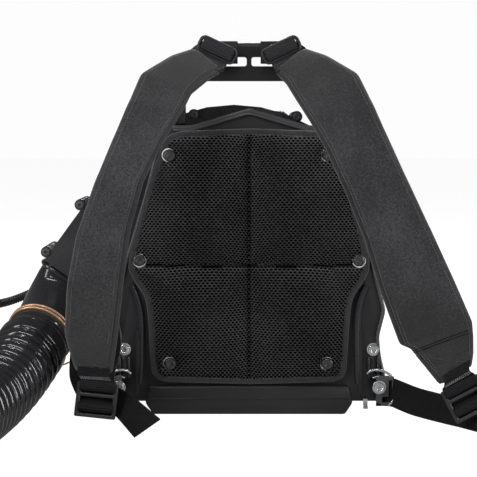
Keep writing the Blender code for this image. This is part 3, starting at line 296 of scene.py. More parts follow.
def ribbed_webbing(name, low, high, pitch=0.0024, depth=0.0011):
    """Nylon webbing: ribs across it and a fine twill within them."""
    made, tree, shader = plain_material(name, low, 0.62)
    shader.inputs["Specular IOR Level"].default_value = 0.12
    parts = add_node(tree, "ShaderNodeSeparateXYZ", {"Vector": cloth_coordinates(tree)})
    rib = wave_over(tree, parts.outputs["Y"], pitch)
    thread = wave_over(tree, parts.outputs["X"], TWILL_PITCH)
    height = math_node(tree, "ADD", spread(tree, rib, 0.0, 0.75), spread(tree, thread, 0.0, 0.25))
    yarn = noise_texture(tree, object_coordinates(tree), 320.0, 3.0, 0.6)
    tone = weighed(tree, (height, 0.5), (yarn, 0.5))
    tree.links.new(color_between(tree, tone, low, high), shader.inputs["Base Color"])
    tree.links.new(spread(tree, yarn, 0.52, 0.72), shader.inputs["Roughness"])
    bump_into(tree, height, depth)
    return made


def matte_black(name):
    """Open-cell foam seen through the mesh: it gives back next to nothing. Also used as painted shade along
    the pad's seams and in the stitched grooves of the right strap's patch.
    """
    made = moulded_plastic(name, (0.0012, 0.0012, 0.0013), 0.97, 0.0001, 500.0)
    made.node_tree.nodes["Principled BSDF"].inputs["Specular IOR Level"].default_value = 0.02
    return made


def plated_metal(name, color, roughness, grain_scale=600.0, dirt=0.35, bare=0.75):
    """Plated or cast metal: uneven gloss, a fine grain and a darker bloom; the less bare, the duller."""
    made, tree, shader = plain_material(name, color, roughness, bare)
    place = object_coordinates(tree)
    bloom = noise_texture(tree, place, 90.0, 4.0, 0.6)
    grain = noise_texture(tree, place, grain_scale, 3.0, 0.6)
    darker = tuple(c * (1.0 - dirt) for c in color)
    tree.links.new(color_between(tree, bloom, darker, color), shader.inputs["Base Color"])
    tree.links.new(spread(tree, grain, roughness - 0.08, roughness + 0.12), shader.inputs["Roughness"])
    bump_into(tree, grain, 0.00004)
    return made


MATERIALS = {
    "frame": moulded_plastic("frame_plastic", (0.0065, 0.0065, 0.0072), 0.38),
    "handle": moulded_plastic("handle_plastic", (0.0028, 0.0028, 0.0032), 0.42),
    # lighter plastic for the plate's rim and ridge: painted highlight along their lit edges
    "edge": moulded_plastic("plate_edge_painted_highlight", (0.026, 0.026, 0.0275), 0.26, 0.00002, 800.0),
    "case": moulded_plastic("case_plastic", (0.009, 0.009, 0.01), 0.27, 0.00003, 900.0),
    "wand": moulded_plastic("wand_plastic", (0.012, 0.012, 0.013), 0.36),
    "gloss": moulded_plastic("duct_plastic", (0.007, 0.007, 0.008), 0.16, 0.00002, 700.0, 0.3),
    "buckle": moulded_plastic("buckle_plastic", (0.012, 0.012, 0.013), 0.3, 0.00003),
    "grip": moulded_plastic("grip_rubber", (0.014, 0.014, 0.014), 0.7, 0.00015, 900.0),
    "impeller": moulded_plastic("impeller_plastic", (0.03, 0.03, 0.032), 0.5),
    "tank": moulded_plastic("tank_plastic", (0.035, 0.035, 0.037), 0.34),
    "orange": moulded_plastic("orange_plastic", (0.62, 0.1, 0.012), 0.32, 0.00003),
    "red": moulded_plastic("red_plastic", (0.42, 0.012, 0.01), 0.3, 0.00003),
    "rubber": moulded_plastic("buffer_rubber", (0.013, 0.013, 0.013), 0.8, 0.00012, 700.0),
    # the strap nylon carries painted shade towards the straps' top and bottom ends
    "nylon": woven_cloth(
        "strap_nylon", (0.0095, 0.0095, 0.0105), (0.044, 0.044, 0.0465), 0.0011, 0.0003, heather=430.0,
        painted_shade=0.27
    ),
    # darker strap cloth: for the inner edge band, and as painted shade on the left strap's lower end
    "nylon_edge_and_shade": woven_cloth(
        "strap_edge_and_painted_shade", (0.008, 0.008, 0.009), (0.026, 0.026, 0.0275), 0.0011, 0.0003, heather=430.0
    ),
    "binding": woven_cloth(
        "binding_tape", (0.012, 0.012, 0.013), (0.024, 0.024, 0.026), 0.0009, 0.00012
    ),
    "mesh": woven_cloth("spacer_mesh", (0.012, 0.012, 0.0126), (0.041, 0.041, 0.0425), 0.0006, 0.0001),
    "webbing": ribbed_webbing("nylon_webbing", (0.0015, 0.0015, 0.0018), (0.021, 0.021, 0.0225)),
    "top_webbing": ribbed_webbing("worn_webbing", (0.007, 0.007, 0.0077), (0.04, 0.04, 0.0425)),
    "black_foam_and_shade": matte_black("black_foam_and_painted_shade"),
    "rivet": moulded_plastic("rivet_gloss", (0.016, 0.016, 0.017), 0.16, 0.00001, 500.0, 0.4),
    "thread": woven_cloth("sewing_thread", (0.03, 0.03, 0.0315), (0.1, 0.1, 0.104), 0.0004, 0.00005),
    "zinc": plated_metal("zinc_plate", (0.7, 0.72, 0.73), 0.22, bare=0.87),
    # a light grey ring that stands in for the glint on the rivets' rims: painted highlight
    "rim": moulded_plastic("rivet_rim_painted_highlight", (0.42, 0.42, 0.43), 0.3, 0.00001, 500.0),
    "copper": plated_metal("copper_wire", (0.68, 0.4, 0.225), 0.2, bare=0.65),
    "conduit": moulded_plastic("conduit_plastic", (0.01, 0.01, 0.011), 0.3, 0.00002, 700.0),
    "bulb": moulded_plastic("bulb_rubber", (0.3, 0.06, 0.02), 0.22, 0.00001, 500.0, 0.3),
    "aluminium": plated_metal("cast_aluminium", (0.5, 0.51, 0.52), 0.42, 380.0),
    "steel": plated_metal("dark_steel", (0.12, 0.12, 0.125), 0.45, 500.0),
}


# ---- making pieces
def place_piece(obj, finish, replaced=(), body="blower"):
    """Gives a piece its material and the body that it rides on."""
    obj.data.materials.clear()
    obj.data.materials.append(MATERIALS[finish])
    if replaced:
        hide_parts(*replaced)
    if body:
        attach(obj, body)
    return obj


def link_mesh(name, bm, smooth_angle=40):
    mesh = bpy.data.meshes.new(name)
    bm.to_mesh(mesh)
    bm.free()
    mesh.shade_smooth()
    mesh.set_sharp_from_angle(angle=math.radians(smooth_angle))
    return link_object(name, mesh)


def line_length(points):
    return sum((b - a).length for a, b in zip(points, points[1:]))


def mirrored(points, side):
    return [Vector((side * x, y, z)) for x, y, z in points]


def straight(start, step, count):
    """A row of points, a step apart."""
    return [Vector(start) + Vector(step) * i for i in range(count)]


def smooth_path(points, per_span=6, closed=False):
    """Points along a smooth curve through the given ones."""
    points = [Vector(p) for p in points]
    if closed:
        ends = [points[-1], *points, points[0], points[1]]
    else:
        ends = [2 * points[0] - points[1], *points, 2 * points[-1] - points[-2]]
    made = []
    for i in range(1, len(ends) - 2):
        before, here, there, after = ends[i - 1 : i + 3]
        for step in range(per_span):
            t = step / per_span
            linear = 2 * here + (there - before) * t
            square = (2 * before - 5 * here + 4 * there - after) * t * t
            cubic = (3 * here - before - 3 * there + after) * t**3
            made.append(0.5 * (linear + square + cubic))
    if not closed:
        made.append(points[-1])
    return made


def even_path(points, step, closed=False):
    """The same line with its points a step apart."""
    points = [Vector(p) for p in points]
    if closed:
        points.append(points[0])
    total = line_length(points)
    count = max(2, round(total / step))
    step = total / count
    made = [points[0].copy()]
    walked = 0.0
    goal = step
    for a, b in zip(points, points[1:]):
        length = (b - a).length
        while length > 1e-12 and goal <= walked + length + 1e-9 and len(made) <= count:
            made.append(a.lerp(b, min(1.0, (goal - walked) / length)))
            goal += step
        walked += length
    if closed:
        made = made[:count]
    return made


def frames_along(points, start_up=UP, closed=False):
    """(point, side, up) at each point, turning no more than the line does."""
    count = len(points)
    made = []
    up = None
    for i, point in enumerate(points):
        if closed:
            forward = points[(i + 1) % count] - points[i - 1]
        else:
            forward = points[min(i + 1, count - 1)] - points[max(i - 1, 0)]
        forward.normalize()
        up = Vector(start_up) if up is None else up
        up = up - forward * up.dot(forward)
        if up.length < 1e-6:
            up = Vector((1.0, 0.0, 0.0)) - forward * forward.x
        up.normalize()
        made.append((point, forward.cross(up), up))
    return made


def loft(name, rings, closed_path=False, smooth_angle=40):
    """A skin over rings of points, with a UV map in metres: U round a ring and V along the path."""
    bm = bmesh.new()
    layer = bm.loops.layers.uv.new("UVMap")
    rows = [[bm.verts.new(p) for p in ring] for ring in rings]
    count = len(rings[0])
    around = [0.0]
    reference = rings[len(rings) // 2]
    for i in range(count):
        around.append(around[-1] + (reference[(i + 1) % count] - reference[i]).length)
    along = [0.0]
    for here, there in zip(rings, [*rings[1:], rings[0]]):
        along.append(along[-1] + sum(((b - a).length for a, b in zip(here, there)), 0.0) / count)
    last = len(rows) if closed_path else len(rows) - 1
    for r in range(last):
        first, second = rows[r], rows[(r + 1) % len(rows)]
        for i in range(count):
            j = (i + 1) % count
            face = bm.faces.new((first[i], first[j], second[j], second[i]))
            for loop, (a, b) in zip(face.loops, ((0, 0), (1, 0), (1, 1), (0, 1))):
                loop[layer].uv = (around[i + a], along[r + b])
    if not closed_path:
        bm.faces.new(list(reversed(rows[0])))
        bm.faces.new(rows[-1])
    bmesh.ops.recalc_face_normals(bm, faces=bm.faces)
    return link_mesh(name, bm, smooth_angle)


def swept(name, points, section, start_up=UP, closed=False, smooth_angle=40):
    """A section of (side, up) points swept along a line."""
    rings = []
    for point, side, up in frames_along(points, start_up, closed):
        rings.append([point + side * a + up * b for a, b in section])
    return loft(name, rings, closed, smooth_angle)


def circle(radius, sides):
    turns = [math.tau * i / sides for i in range(sides)]
    return [(radius * math.cos(t), radius * math.sin(t)) for t in turns]


def round_bar(name, points, radius, sides, closed=False, start_up=UP):
    return swept(name, points, circle(radius, sides), start_up, closed)


def bar(name, points, radius, finish, sides=8, closed=False, start_up=UP, replaced=(), body="blower"):
    """A round bar along a line, as a finished piece."""
    made = round_bar(name, points, radius, sides, closed, start_up)
    return place_piece(made, finish, replaced, body)


def turn_onto(axis):
    """The rotation that takes +Z onto an axis."""
    return Vector(axis).to_track_quat("Z", "Y").to_matrix()


def turned(name, profile, origin, axis, sides, smooth_angle=35):
    """A (radius, height) profile turned about an axis; its ends on the axis are closed."""
    origin = Vector(origin)
    turn = turn_onto(axis)
    rings = []
    for radius, height in profile:
        rings.append(
            [origin + turn @ Vector((a, b, height)) for a, b in circle(max(radius, 1e-5), sides)]
        )
    return loft(name, rings, smooth_angle=smooth_angle)


def joined(name, objects):
    """One piece from several, keeping their materials."""
    bpy.context.view_layer.update()
    target = objects[0]
    chosen = {"selected_objects": objects, "selected_editable_objects": objects}
    with bpy.context.temp_override(active_object=target, object=target, **chosen):
        bpy.ops.object.join()
    target.name = name
    target.data.name = name
    return target


def apply_modifiers(obj):
    bpy.context.view_layer.update()
    graph = bpy.context.evaluated_depsgraph_get()
    mesh = bpy.data.meshes.new_from_object(obj.evaluated_get(graph))
    obj.modifiers.clear()
    obj.data = mesh


def add_modifier(obj, kind, **settings):
    made = obj.modifiers.new(kind.lower(), kind)
    for key, value in settings.items():
        setattr(made, key, value)
    return made


def stitch_row(name, points, normal, pitch=0.0034, length=0.0023, radius=0.00045, finish="thread"):
    """A row of lock stitches lying on a surface."""
    bm = bmesh.new()
    layer = bm.loops.layers.uv.new("UVMap")
    route = even_path(points, pitch)
    last = len(route) - 1
    for i, point in enumerate(route):
        forward = (route[min(i + 1, last)] - route[max(i - 1, 0)]).normalized()
        side = forward.cross(normal).normalized()
        rings = []
        for step, scale in ((-0.5, 0.35), (-0.3, 1.0), (0.3, 1.0), (0.5, 0.35)):
            centre = point + forward * length * step
            ring = [centre + side * a * scale + normal * b * scale for a, b in circle(radius, 5)]
            rings.append([bm.verts.new(p) for p in ring])
        for first, second in zip(rings, rings[1:]):
            for k in range(5):
                face = bm.faces.new((first[k], first[(k + 1) % 5], second[(k + 1) % 5], second[k]))
                for loop in face.loops:
                    loop[layer].uv = (k * 0.0005, step * length)
        bm.faces.new(list(reversed(rings[0])))
        bm.faces.new(rings[-1])
    bmesh.ops.recalc_face_normals(bm, faces=bm.faces)
    place_piece(link_mesh(name, bm, 80), finish)


# ---- back pad
PAD_HALF = (
    (0.0, 0.368), (0.09, 0.3645), (0.1075, 0.3565), (0.131, 0.29), (0.1465, 0.235), (0.1545, 0.2),
    (0.1545, 0.187), (0.1465, 0.171), (0.1375, 0.159), (0.132, 0.146), (0.1295, 0.12), (0.128, 0.09),
    (0.1255, 0.052), (0.114, 0.0415), (0.0, 0.0385),
)
PAD_SEAM_Z = 0.193
PAD_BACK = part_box("back_pad")[1].y
PAD_SEAM_Y = PAD_BACK - 0.0075
PAD_SWELL = 0.023
SWELL_REACH = 0.058
SEWN_REACH = 0.0045
CLOTH_SHARE = 0.3
FORM_SHARE = 0.8
CLOTH_STEPS = 20
PAD_PRESSURE = 4.0
BINDING_WIDTH = 0.0095
RIVET_RADIUS = 0.008
RIVETS = [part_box(f"pad_rivet_{i}") for i in range(1, 7)]
RIVET_CENTRES = [(low + high) / 2 for low, high in RIVETS]
NET_PITCH = 0.0052
NET_ROW = 0.0031
NET_HOLE = 0.74
NET_DEPTH = 0.0036
NET_LIFT = 0.0003
NET_CROWD = 0.004
NET_DIP = 0.003
NET_REACH = 0.17
NET_START = 0.03
NET_HEIGHT = 0.36
# half width of the band along the seams where the net's knit face is painted black as painted shade
NET_SEAM_SHADE_HALF = 0.0013


def mirrored_outline(half):
    return [*half, *[(-x, z) for x, z in reversed(half) if x > 1e-6]]


def corner_curve(first, corner, last, steps):
    """Points on the short curve that cuts a corner."""
    shares = [step / steps for step in range(steps + 1)]
    return [first * (1 - t) ** 2 + corner * 2 * t * (1 - t) + last * t * t for t in shares]


def rounded_outline(corners, radius, steps=5):
    """A closed outline with each corner drawn as a short arc."""
    made = []
    corners = [Vector(c) for c in corners]
    for i, corner in enumerate(corners):
        before = corners[i - 1] - corner
        after = corners[(i + 1) % len(corners)] - corner
        reach = min(radius, before.length * 0.45, after.length * 0.45)
        first = corner + before.normalized() * reach
        last = corner + after.normalized() * reach
        made += corner_curve(first, corner, last, steps)
    return made


def inset_outline(outline, distance):
    """The outline moved inwards; it runs clockwise as seen from -Y."""
    made = []
    count = len(outline)
    for i, here in enumerate(outline):
        back = (here - outline[i - 1]).normalized()
        ahead = (outline[(i + 1) % count] - here).normalized()
        inward = (Vector((back.y, -back.x)) + Vector((ahead.y, -ahead.x))).normalized()
        made.append(here + inward * distance)
    return made


PAD_CORNER = 0.012
PAD_OUTLINE = even_path(rounded_outline(mirrored_outline(PAD_HALF), PAD_CORNER), 0.004, closed=True)
PAD_COARSE = rounded_outline(mirrored_outline(PAD_HALF), PAD_CORNER, 2)


def distance_to_outline(place, outline):
    """How far inside a closed outline a point is; negative outside."""
    best = 1e9
    inside = False
    for i, a in enumerate(outline):
        b = outline[(i + 1) % len(outline)]
        along = b - a
        t = max(0.0, min(1.0, (place - a).dot(along) / along.length_squared))
        best = min(best, (place - a - along * t).length)
        if (a.y > place.y) != (b.y > place.y):
            if place.x < a.x + (place.y - a.y) / (b.y - a.y) * (b.x - a.x):
                inside = not inside
    return best if inside else -best


def pad_slack(x, z):
    """How far a point of the pad is from what holds it down, in metres: seams, border and rivets."""
    edge = distance_to_outline(Vector((x, z)), PAD_OUTLINE) - BINDING_WIDTH * 0.8
    held = min(edge, abs(x), abs(z - PAD_SEAM_Z))
    for centre in RIVET_CENTRES:
        held = min(held, math.hypot(x - centre.x, z - centre.z) - RIVET_RADIUS)
    return max(0.0, held)


def swell_at(point):
    """How far the pad stands out at a point, by its form alone."""
    share = min(1.0, pad_slack(point.x, point.z) / SWELL_REACH)
    return PAD_SWELL * math.sqrt(1.0 - (1.0 - share) ** 2)


def on_front(point):
    return point.y < PAD_SEAM_Y + 0.003


def sewn_down(point):
    """1 where the pad can't move: its back, and its front along seams, border and rivets."""
    return 0.0 if on_front(point) and pad_slack(point.x, point.z) >= SEWN_REACH else 1.0


def pad_block():
    """The cushion before it swells: a slab that fills the pad's outline, remeshed evenly."""
    outline = inset_outline(PAD_OUTLINE, 0.002)
    rings = []
    for y in (PAD_SEAM_Y, PAD_BACK):
        rings.append([Vector((p.x, y, p.y)) for p in outline])
    slab = loft("back_pad_cushion", rings)
    add_modifier(slab, "REMESH", mode="VOXEL", voxel_size=0.005)
    apply_modifiers(slab)
    return slab


def inflate(obj):
    """Cloth pressure swells the pad where it isn't sewn down, by PAD_SWELL at most."""
    rest = [v.co.copy() for v in obj.data.vertices]
    group = obj.vertex_groups.new(name="sewn")
    for vertex in obj.data.vertices:
        group.add([vertex.index], sewn_down(vertex.co), "REPLACE")
    settings = add_modifier(obj, "CLOTH").settings
    settings.use_pressure = True
    settings.uniform_pressure_force = PAD_PRESSURE
    settings.vertex_group_mass = group.name
    settings.effector_weights.gravity = 0.0
    settings.tension_stiffness = 8.0
    settings.shear_stiffness = 4.0
    settings.quality = 5
    scene = bpy.context.scene
    for step in range(1, CLOTH_STEPS + 1):
        scene.frame_set(step)
    apply_modifiers(obj)
    scene.frame_set(1)
    for vertex, start in zip(obj.data.vertices, rest):
        moved = vertex.co - start
        if moved.length > PAD_SWELL:
            vertex.co = start + moved.normalized() * PAD_SWELL
    obj.vertex_groups.clear()


def make_cushion():
    cushion = pad_block()
    inflate(cushion)
    for vertex in cushion.data.vertices:
        if on_front(vertex.co):
            swell = swell_at(vertex.co)
            vertex.co.y = PAD_SEAM_Y - CLOTH_SHARE * (PAD_SEAM_Y - vertex.co.y) - FORM_SHARE * swell
    cushion.data.shade_smooth()
    return cushion


def make_net(cushion):
    """Spacer mesh: rows of staggered holes in a knitted face, laid on the swollen cushion."""
    tree = BVHTree.FromObject(cushion, bpy.context.evaluated_depsgraph_get())

    def depth_at(x, z):
        hit = tree.ray_cast(Vector((x, PAD_SEAM_Y - 0.1, z)), BACK)[0]
        return hit.y if hit else PAD_SEAM_Y

    def laid(u, v):
        """Holes crowd together where the cloth dives into a seam."""
        pull = math.exp(-abs(v - PAD_SEAM_Z) / 0.03)
        bow = math.sin(min(abs(u), 0.11) / 0.11 * math.pi)
        dip = math.exp(-abs(u) / 0.025) * (1 if v > PAD_SEAM_Z else -1)
        x = u - NET_CROWD * math.sin(math.tau * u / 0.15) * math.exp(-abs(u) / 0.09)
        return x, v + NET_CROWD * pull * bow - NET_DIP * dip

    points, faces, finishes, known = [], [], [], {}

    def corner(u, v):
        key = (round(u * 1e5), round(v * 1e5))
        if key not in known:
            x, z = laid(u, v)
            known[key] = len(points)
            points.append((x, depth_at(x, z) - NET_LIFT, z))
        return known[key]

    columns = int(NET_REACH / NET_PITCH)
    rows = int(NET_HEIGHT / NET_ROW)
    hexagon = [(0.5, 1 / 3), (0.0, 2 / 3), (-0.5, 1 / 3), (-0.5, -1 / 3), (0.0, -2 / 3), (0.5, -1 / 3)]
    for row in range(rows):
        v = NET_START + row * NET_ROW
        for column in range(-columns, columns + 1):
            u = (column + (0.5 if row % 2 else 0.0)) * NET_PITCH
            x, z = laid(u, v)
            if distance_to_outline(Vector((x, z)), PAD_COARSE) < BINDING_WIDTH * 0.55:
                continue
            rim = [corner(u + a * NET_PITCH, v + b * NET_ROW) for a, b in hexagon]
            centre = depth_at(x, z)
            inner = []
            for a, b in hexagon:
                inner.append(len(points))
                px, pz = laid(u + a * NET_PITCH * NET_HOLE, v + b * NET_ROW * NET_HOLE)
                points.append((px, centre + NET_LIFT, pz))
            bottom = len(points)
            points.append((x, centre + NET_DEPTH, z))
            # knit faces next to the seams take the black foam material: painted shade in the seam valley
            seam_shade = 1 if min(abs(x), abs(z - PAD_SEAM_Z)) < NET_SEAM_SHADE_HALF else 0
            for i in range(6):
                j = (i + 1) % 6
                faces.append((rim[i], rim[j], inner[j], inner[i]))
                finishes.append(seam_shade)
                faces.append((inner[i], inner[j], bottom))
                finishes.append(1)
    mesh = bpy.data.meshes.new("back_pad_net")
    mesh.from_pydata(points, [], faces)
    mesh.update()
    mesh.shade_smooth()
    place_piece(link_object("back_pad_net", mesh), "mesh")
    mesh.materials.append(MATERIALS["black_foam_and_shade"])
    mesh.polygons.foreach_set("material_index", finishes)


def make_pad():
    cushion = make_cushion()
    make_net(cushion)
    for vertex in cushion.data.vertices:
        vertex.co.y += 0.0022 if on_front(vertex.co) else 0.0
    place_piece(cushion, "black_foam_and_shade", ["back_pad"])
    band_line = inset_outline(PAD_OUTLINE, BINDING_WIDTH * 0.48)
    front = PAD_SEAM_Y - 0.0012
    path = [Vector((p.x, front, p.y)) for p in band_line]
    half = BINDING_WIDTH / 2
    section = [
        (-half, 0.0032), (-half * 0.86, -0.0006), (-half * 0.5, -0.0016), (0.0, -0.0018),
        (half * 0.5, -0.0014), (half * 0.86, -0.0004), (half, 0.0030), (half * 0.4, 0.0062),
        (-half * 0.7, 0.0062),
    ]
    band = swept("back_pad_binding", path, section, BACK, closed=True)
    add_modifier(band, "SUBSURF", levels=1, render_levels=1)
    place_piece(band, "binding")
    inner_line = inset_outline(PAD_OUTLINE, BINDING_WIDTH * 0.78)
    row = [Vector((p.x, front - 0.0013, p.y)) for p in inner_line]
    stitch_row("back_pad_binding_stitches", [*row, row[0]], FRONT)


def make_rivets():
    radius = RIVET_RADIUS
    for i, (low, high) in enumerate(RIVETS, 1):
        centre = (low + high) / 2
        seat = PAD_SEAM_Y - 0.0016
        profile = [
            (0.0, 0.0044), (0.0028, 0.0044), (0.0034, 0.005), (0.0056, 0.0049), (0.0068, 0.0042),
            (0.0076, 0.003), (radius, 0.0016), (radius - 0.0003, 0.0004), (0.0028, -0.0008),
            (0.0026, -0.007), (0.0, -0.0075),
        ]
        rivet = turned(f"pad_rivet_head_{i}", profile, (centre.x, seat, centre.z), FRONT, 40, 50)
        place_piece(rivet, "rivet", [f"pad_rivet_{i}"])
        # each rim ring sits off-centre so only a crescent shows past the head, where the glint falls: painted
        # highlight
        right, lift = (0.0, -0.0009) if centre.x > 0 else (0.0007, -0.0006)
        if abs(centre.z - PAD_SEAM_Z) > 0.03:
            right, lift = -0.0012, 0.0005
        middle = Vector((centre.x + right, seat - 0.001, centre.z + lift))
        rim = [middle + Vector((a, 0.0, b)) for a, b in circle(radius, 48)]
        bar(f"pad_rivet_rim_{i}", rim, 0.0007, "rim", 10, closed=True)


# ---- shoulder straps
STRAPS = {
    "right": (
        ((0.029, -0.136, 0.441), (0.067, -0.136, 0.47)),
        ((0.043, -0.152, 0.425), (0.094, -0.165, 0.459)),
        ((0.057, -0.178, 0.4), (0.127, -0.205, 0.436)), ((0.0695, -0.2, 0.379), (0.143, -0.23, 0.4)),
        ((0.087, -0.225, 0.347), (0.158, -0.247, 0.364)),
        ((0.109, -0.248, 0.297), (0.1805, -0.265, 0.312)),
        ((0.1325, -0.26, 0.238), (0.2075, -0.275, 0.2535)),
        ((0.151, -0.258, 0.179), (0.2355, -0.272, 0.195)),
        ((0.178, -0.243, 0.11), (0.2625, -0.2565, 0.139)),
        ((0.192, -0.24, 0.1035), (0.265, -0.251, 0.122)),
        ((0.211, -0.2365, 0.08), (0.2668, -0.245, 0.101)),
        ((0.229, -0.2335, 0.0585), (0.266, -0.2385, 0.083)),
    ),
    "left": (
        ((-0.03, -0.136, 0.441), (-0.067, -0.136, 0.47)),
        ((-0.048, -0.152, 0.43), (-0.095, -0.165, 0.459)),
        ((-0.068, -0.178, 0.412), (-0.1275, -0.205, 0.436)),
        ((-0.0785, -0.2, 0.39), (-0.1415, -0.23, 0.4)),
        ((-0.0985, -0.225, 0.357), (-0.157, -0.247, 0.362)),
        ((-0.1225, -0.248, 0.308), (-0.1775, -0.265, 0.311)),
        ((-0.139, -0.258, 0.2475), (-0.2005, -0.272, 0.246)),
        ((-0.148, -0.252, 0.184), (-0.2135, -0.265, 0.186)),
        ((-0.1595, -0.225, 0.108), (-0.222, -0.235, 0.1205)),
        ((-0.1675, -0.208, 0.066), (-0.2115, -0.213, 0.069)),
    ),
}
SEAM_INSET = {"left": 0.0075, "right": 0.0065}
# the ring from which each strap's end takes the darker cloth: painted shade on the left, the stitched patch
# on the right
DARK_END_RING = {"left": 63, "right": 70}


def cornered_path(points, steps=4, share=0.12):
    """Straight stretches between the points, with a short curve at each."""
    points = [Vector(p) for p in points]
    made = [points[0]]
    for i in range(1, len(points) - 1):
        before = points[i].lerp(points[i - 1], share)
        after = points[i].lerp(points[i + 1], share)
        start = made[-1]
        made += [start.lerp(before, step / steps) for step in range(1, steps + 1)]
        made += corner_curve(before, points[i], after, steps)[1:]
    start = made[-1]
    made += [start.lerp(points[-1], step / steps) for step in range(1, steps + 1)]
    return made


def strap_frames(name):
    """(inner edge, outer edge, across, front) along a shoulder strap's front face."""
    inner = cornered_path([a for a, _ in STRAPS[name]])
    outer = cornered_path([b for _, b in STRAPS[name]])
    made = []
    for i, (a, b) in enumerate(zip(inner, outer)):
        j, k = max(i - 1, 0), min(i + 1, len(inner) - 1)
        onward = (inner[k] + outer[k]) - (inner[j] + outer[j])
        across = (b - a).normalized()
        front = across.cross(onward).normalized()
        front = -front if front.y > 0 else front
        made.append((a, b, across, front))
    return made


def strap_section(width, seam, thin):
    """(from the inner edge, towards the back) round a padded strap, welted near its inner edge."""
    crown = 0.0014
    points = [
        (0.0, 0.0062), (0.0006, 0.0034), (0.0022, 0.0019), (seam * 0.7, 0.0011),
        (seam - 0.0012, 0.0011), (seam - 0.0006, 0.0019), (seam + 0.0002, 0.0014),
        (seam + 0.0007, -0.0002), (seam + 0.002, -0.0004),
    ]
    for share in (0.25, 0.4, 0.55, 0.7, 0.82, 0.91):
        s = seam + (width - seam) * share
        points.append((s, -crown * math.sin(math.pi * share) * 0.6 + 0.0002))
    points += [
        (width - 0.003, 0.001), (width - 0.0008, 0.0024), (width, 0.0052), (width - 0.0008, 0.0092),
        (width - 0.004, 0.0116), (width * 0.75, 0.012), (width * 0.5, 0.012), (width * 0.25, 0.012),
        (0.004, 0.0116), (0.0008, 0.0095),
    ]
    return [(s, d * thin + (1 - thin) * 0.0015) for s, d in points]


def make_strap(name):
    side = 1 if name == "right" else -1
    seam = SEAM_INSET[name]
    placed = strap_frames(name)
    count = len(placed)
    rings = []
    welt = []
    outer_seam = []
    for i, (a, b, across, front) in enumerate(placed):
        width = (b - a).length
        end_share = min(i / 8, (count - 1 - i) / 9, 1.0)
        thin = 0.42 + 0.58 * math.sin(end_share * math.pi / 2)
        ring = []
        for s, d in strap_section(width, min(seam, width * 0.2), thin):
            point = a + across * s - front * d
            if d < 0.006:
                wave = noise.noise(Vector((point.x * 9 + 3 * side, point.z * 22, 1.7)))
                crease = noise.noise(Vector((point.x * 40 + point.z * 26 * side, point.z * 9, 4.2)))
                middle = math.sin(math.pi * min(1.0, max(0.0, s / width)))
                creased = 1.0 if i > count / 2 else 0.4
                point += front * middle * (0.0026 * wave + 0.0015 * crease * creased)
            ring.append(point)
        rings.append(ring)
        welt.append(a + across * (min(seam, width * 0.2) + 0.0042) + front * 0.0003)
        outer_seam.append(b - across * 0.0055 + front * 0.0001)
    strap = loft(f"shoulder_strap_{name}", rings)
    per_ring = len(rings[0])
    add_modifier(strap, "SUBSURF", levels=1, render_levels=1)
    place_piece(strap, "nylon", [f"shoulder_pad_{name}"])
    strap.data.materials.append(MATERIALS["nylon_edge_and_shade"])
    for polygon in strap.data.polygons:
        place = polygon.index % per_ring
        ring = polygon.index // per_ring
        # the inner edge band and the strap's end take the darker cloth; on the left strap's end it is painted
        # shade
        if place < 4 or place == per_ring - 1 or ring >= DARK_END_RING[name]:
            polygon.material_index = 1
    middle_front = placed[count // 2][3]
    stitch_row(f"shoulder_strap_stitches_{name}", welt[4:-6], middle_front)
    stitch_row(f"shoulder_strap_edge_stitches_{name}", outer_seam[5:-8], middle_front)
    return strap


STRAP_SEAMS = {
    "right": (
        ((0.161, 0.185), (0.177, 0.1835), (0.193, 0.1855), (0.202, 0.197)),
        ((0.1945, 0.1035), (0.2255, 0.117), (0.256, 0.13)),
        ((0.1965, 0.101), (0.2265, 0.114), (0.258, 0.127)),
        ((0.2, 0.0985), (0.23, 0.093), (0.2625, 0.09)),
        ((0.256, 0.126), (0.245, 0.095), (0.2315, 0.064)),
        ((0.2, 0.096), (0.214, 0.0795), (0.2285, 0.0625)),
        ((0.2305, 0.0605), (0.247, 0.072), (0.2635, 0.0845)),
        ((0.2315, 0.0635), (0.2465, 0.0745), (0.2625, 0.0875)),
    ),
    "left": (
        ((-0.207, 0.098), (-0.19, 0.088), (-0.171, 0.0815)),
        ((-0.2065, 0.094), (-0.19, 0.084), (-0.171, 0.0775)),
        ((-0.206, 0.0785), (-0.19, 0.073), (-0.17, 0.071)),
        ((-0.206, 0.0755), (-0.19, 0.07), (-0.17, 0.068)),
        ((-0.205, 0.094), (-0.188, 0.082), (-0.171, 0.072)),
        ((-0.205, 0.076), (-0.188, 0.08), (-0.171, 0.08)),
    ),
}


def make_strap_seams(strap, name):
    """Rows of stitching across the strap: its patch, its end and the seam of its inner pad."""
    bpy.context.view_layer.update()
    tree = BVHTree.FromObject(strap, bpy.context.evaluated_depsgraph_get())
    for k, seam in enumerate(STRAP_SEAMS[name]):
        line = []
        for point in even_path(smooth_path([(x, 0.0, z) for x, z in seam], 6), 0.003):
            hit = tree.ray_cast(Vector((point.x, -0.5, point.z)), BACK)[0]
            if hit:
                line.append(hit + FRONT * 0.0002)
        if len(line) > 3:
            # the two doubled rows of the right strap's patch are drawn near-black: painted shade in their
            # grooves
            groove_shade_row = name == "right" and k in (1, 2)
            thread = (0.0005, "black_foam_and_shade") if groove_shade_row else (0.0006, "binding")
            stitch_row(f"shoulder_strap_seam_{name}_{k + 1}", line, FRONT, 0.003, 0.0025, *thread)


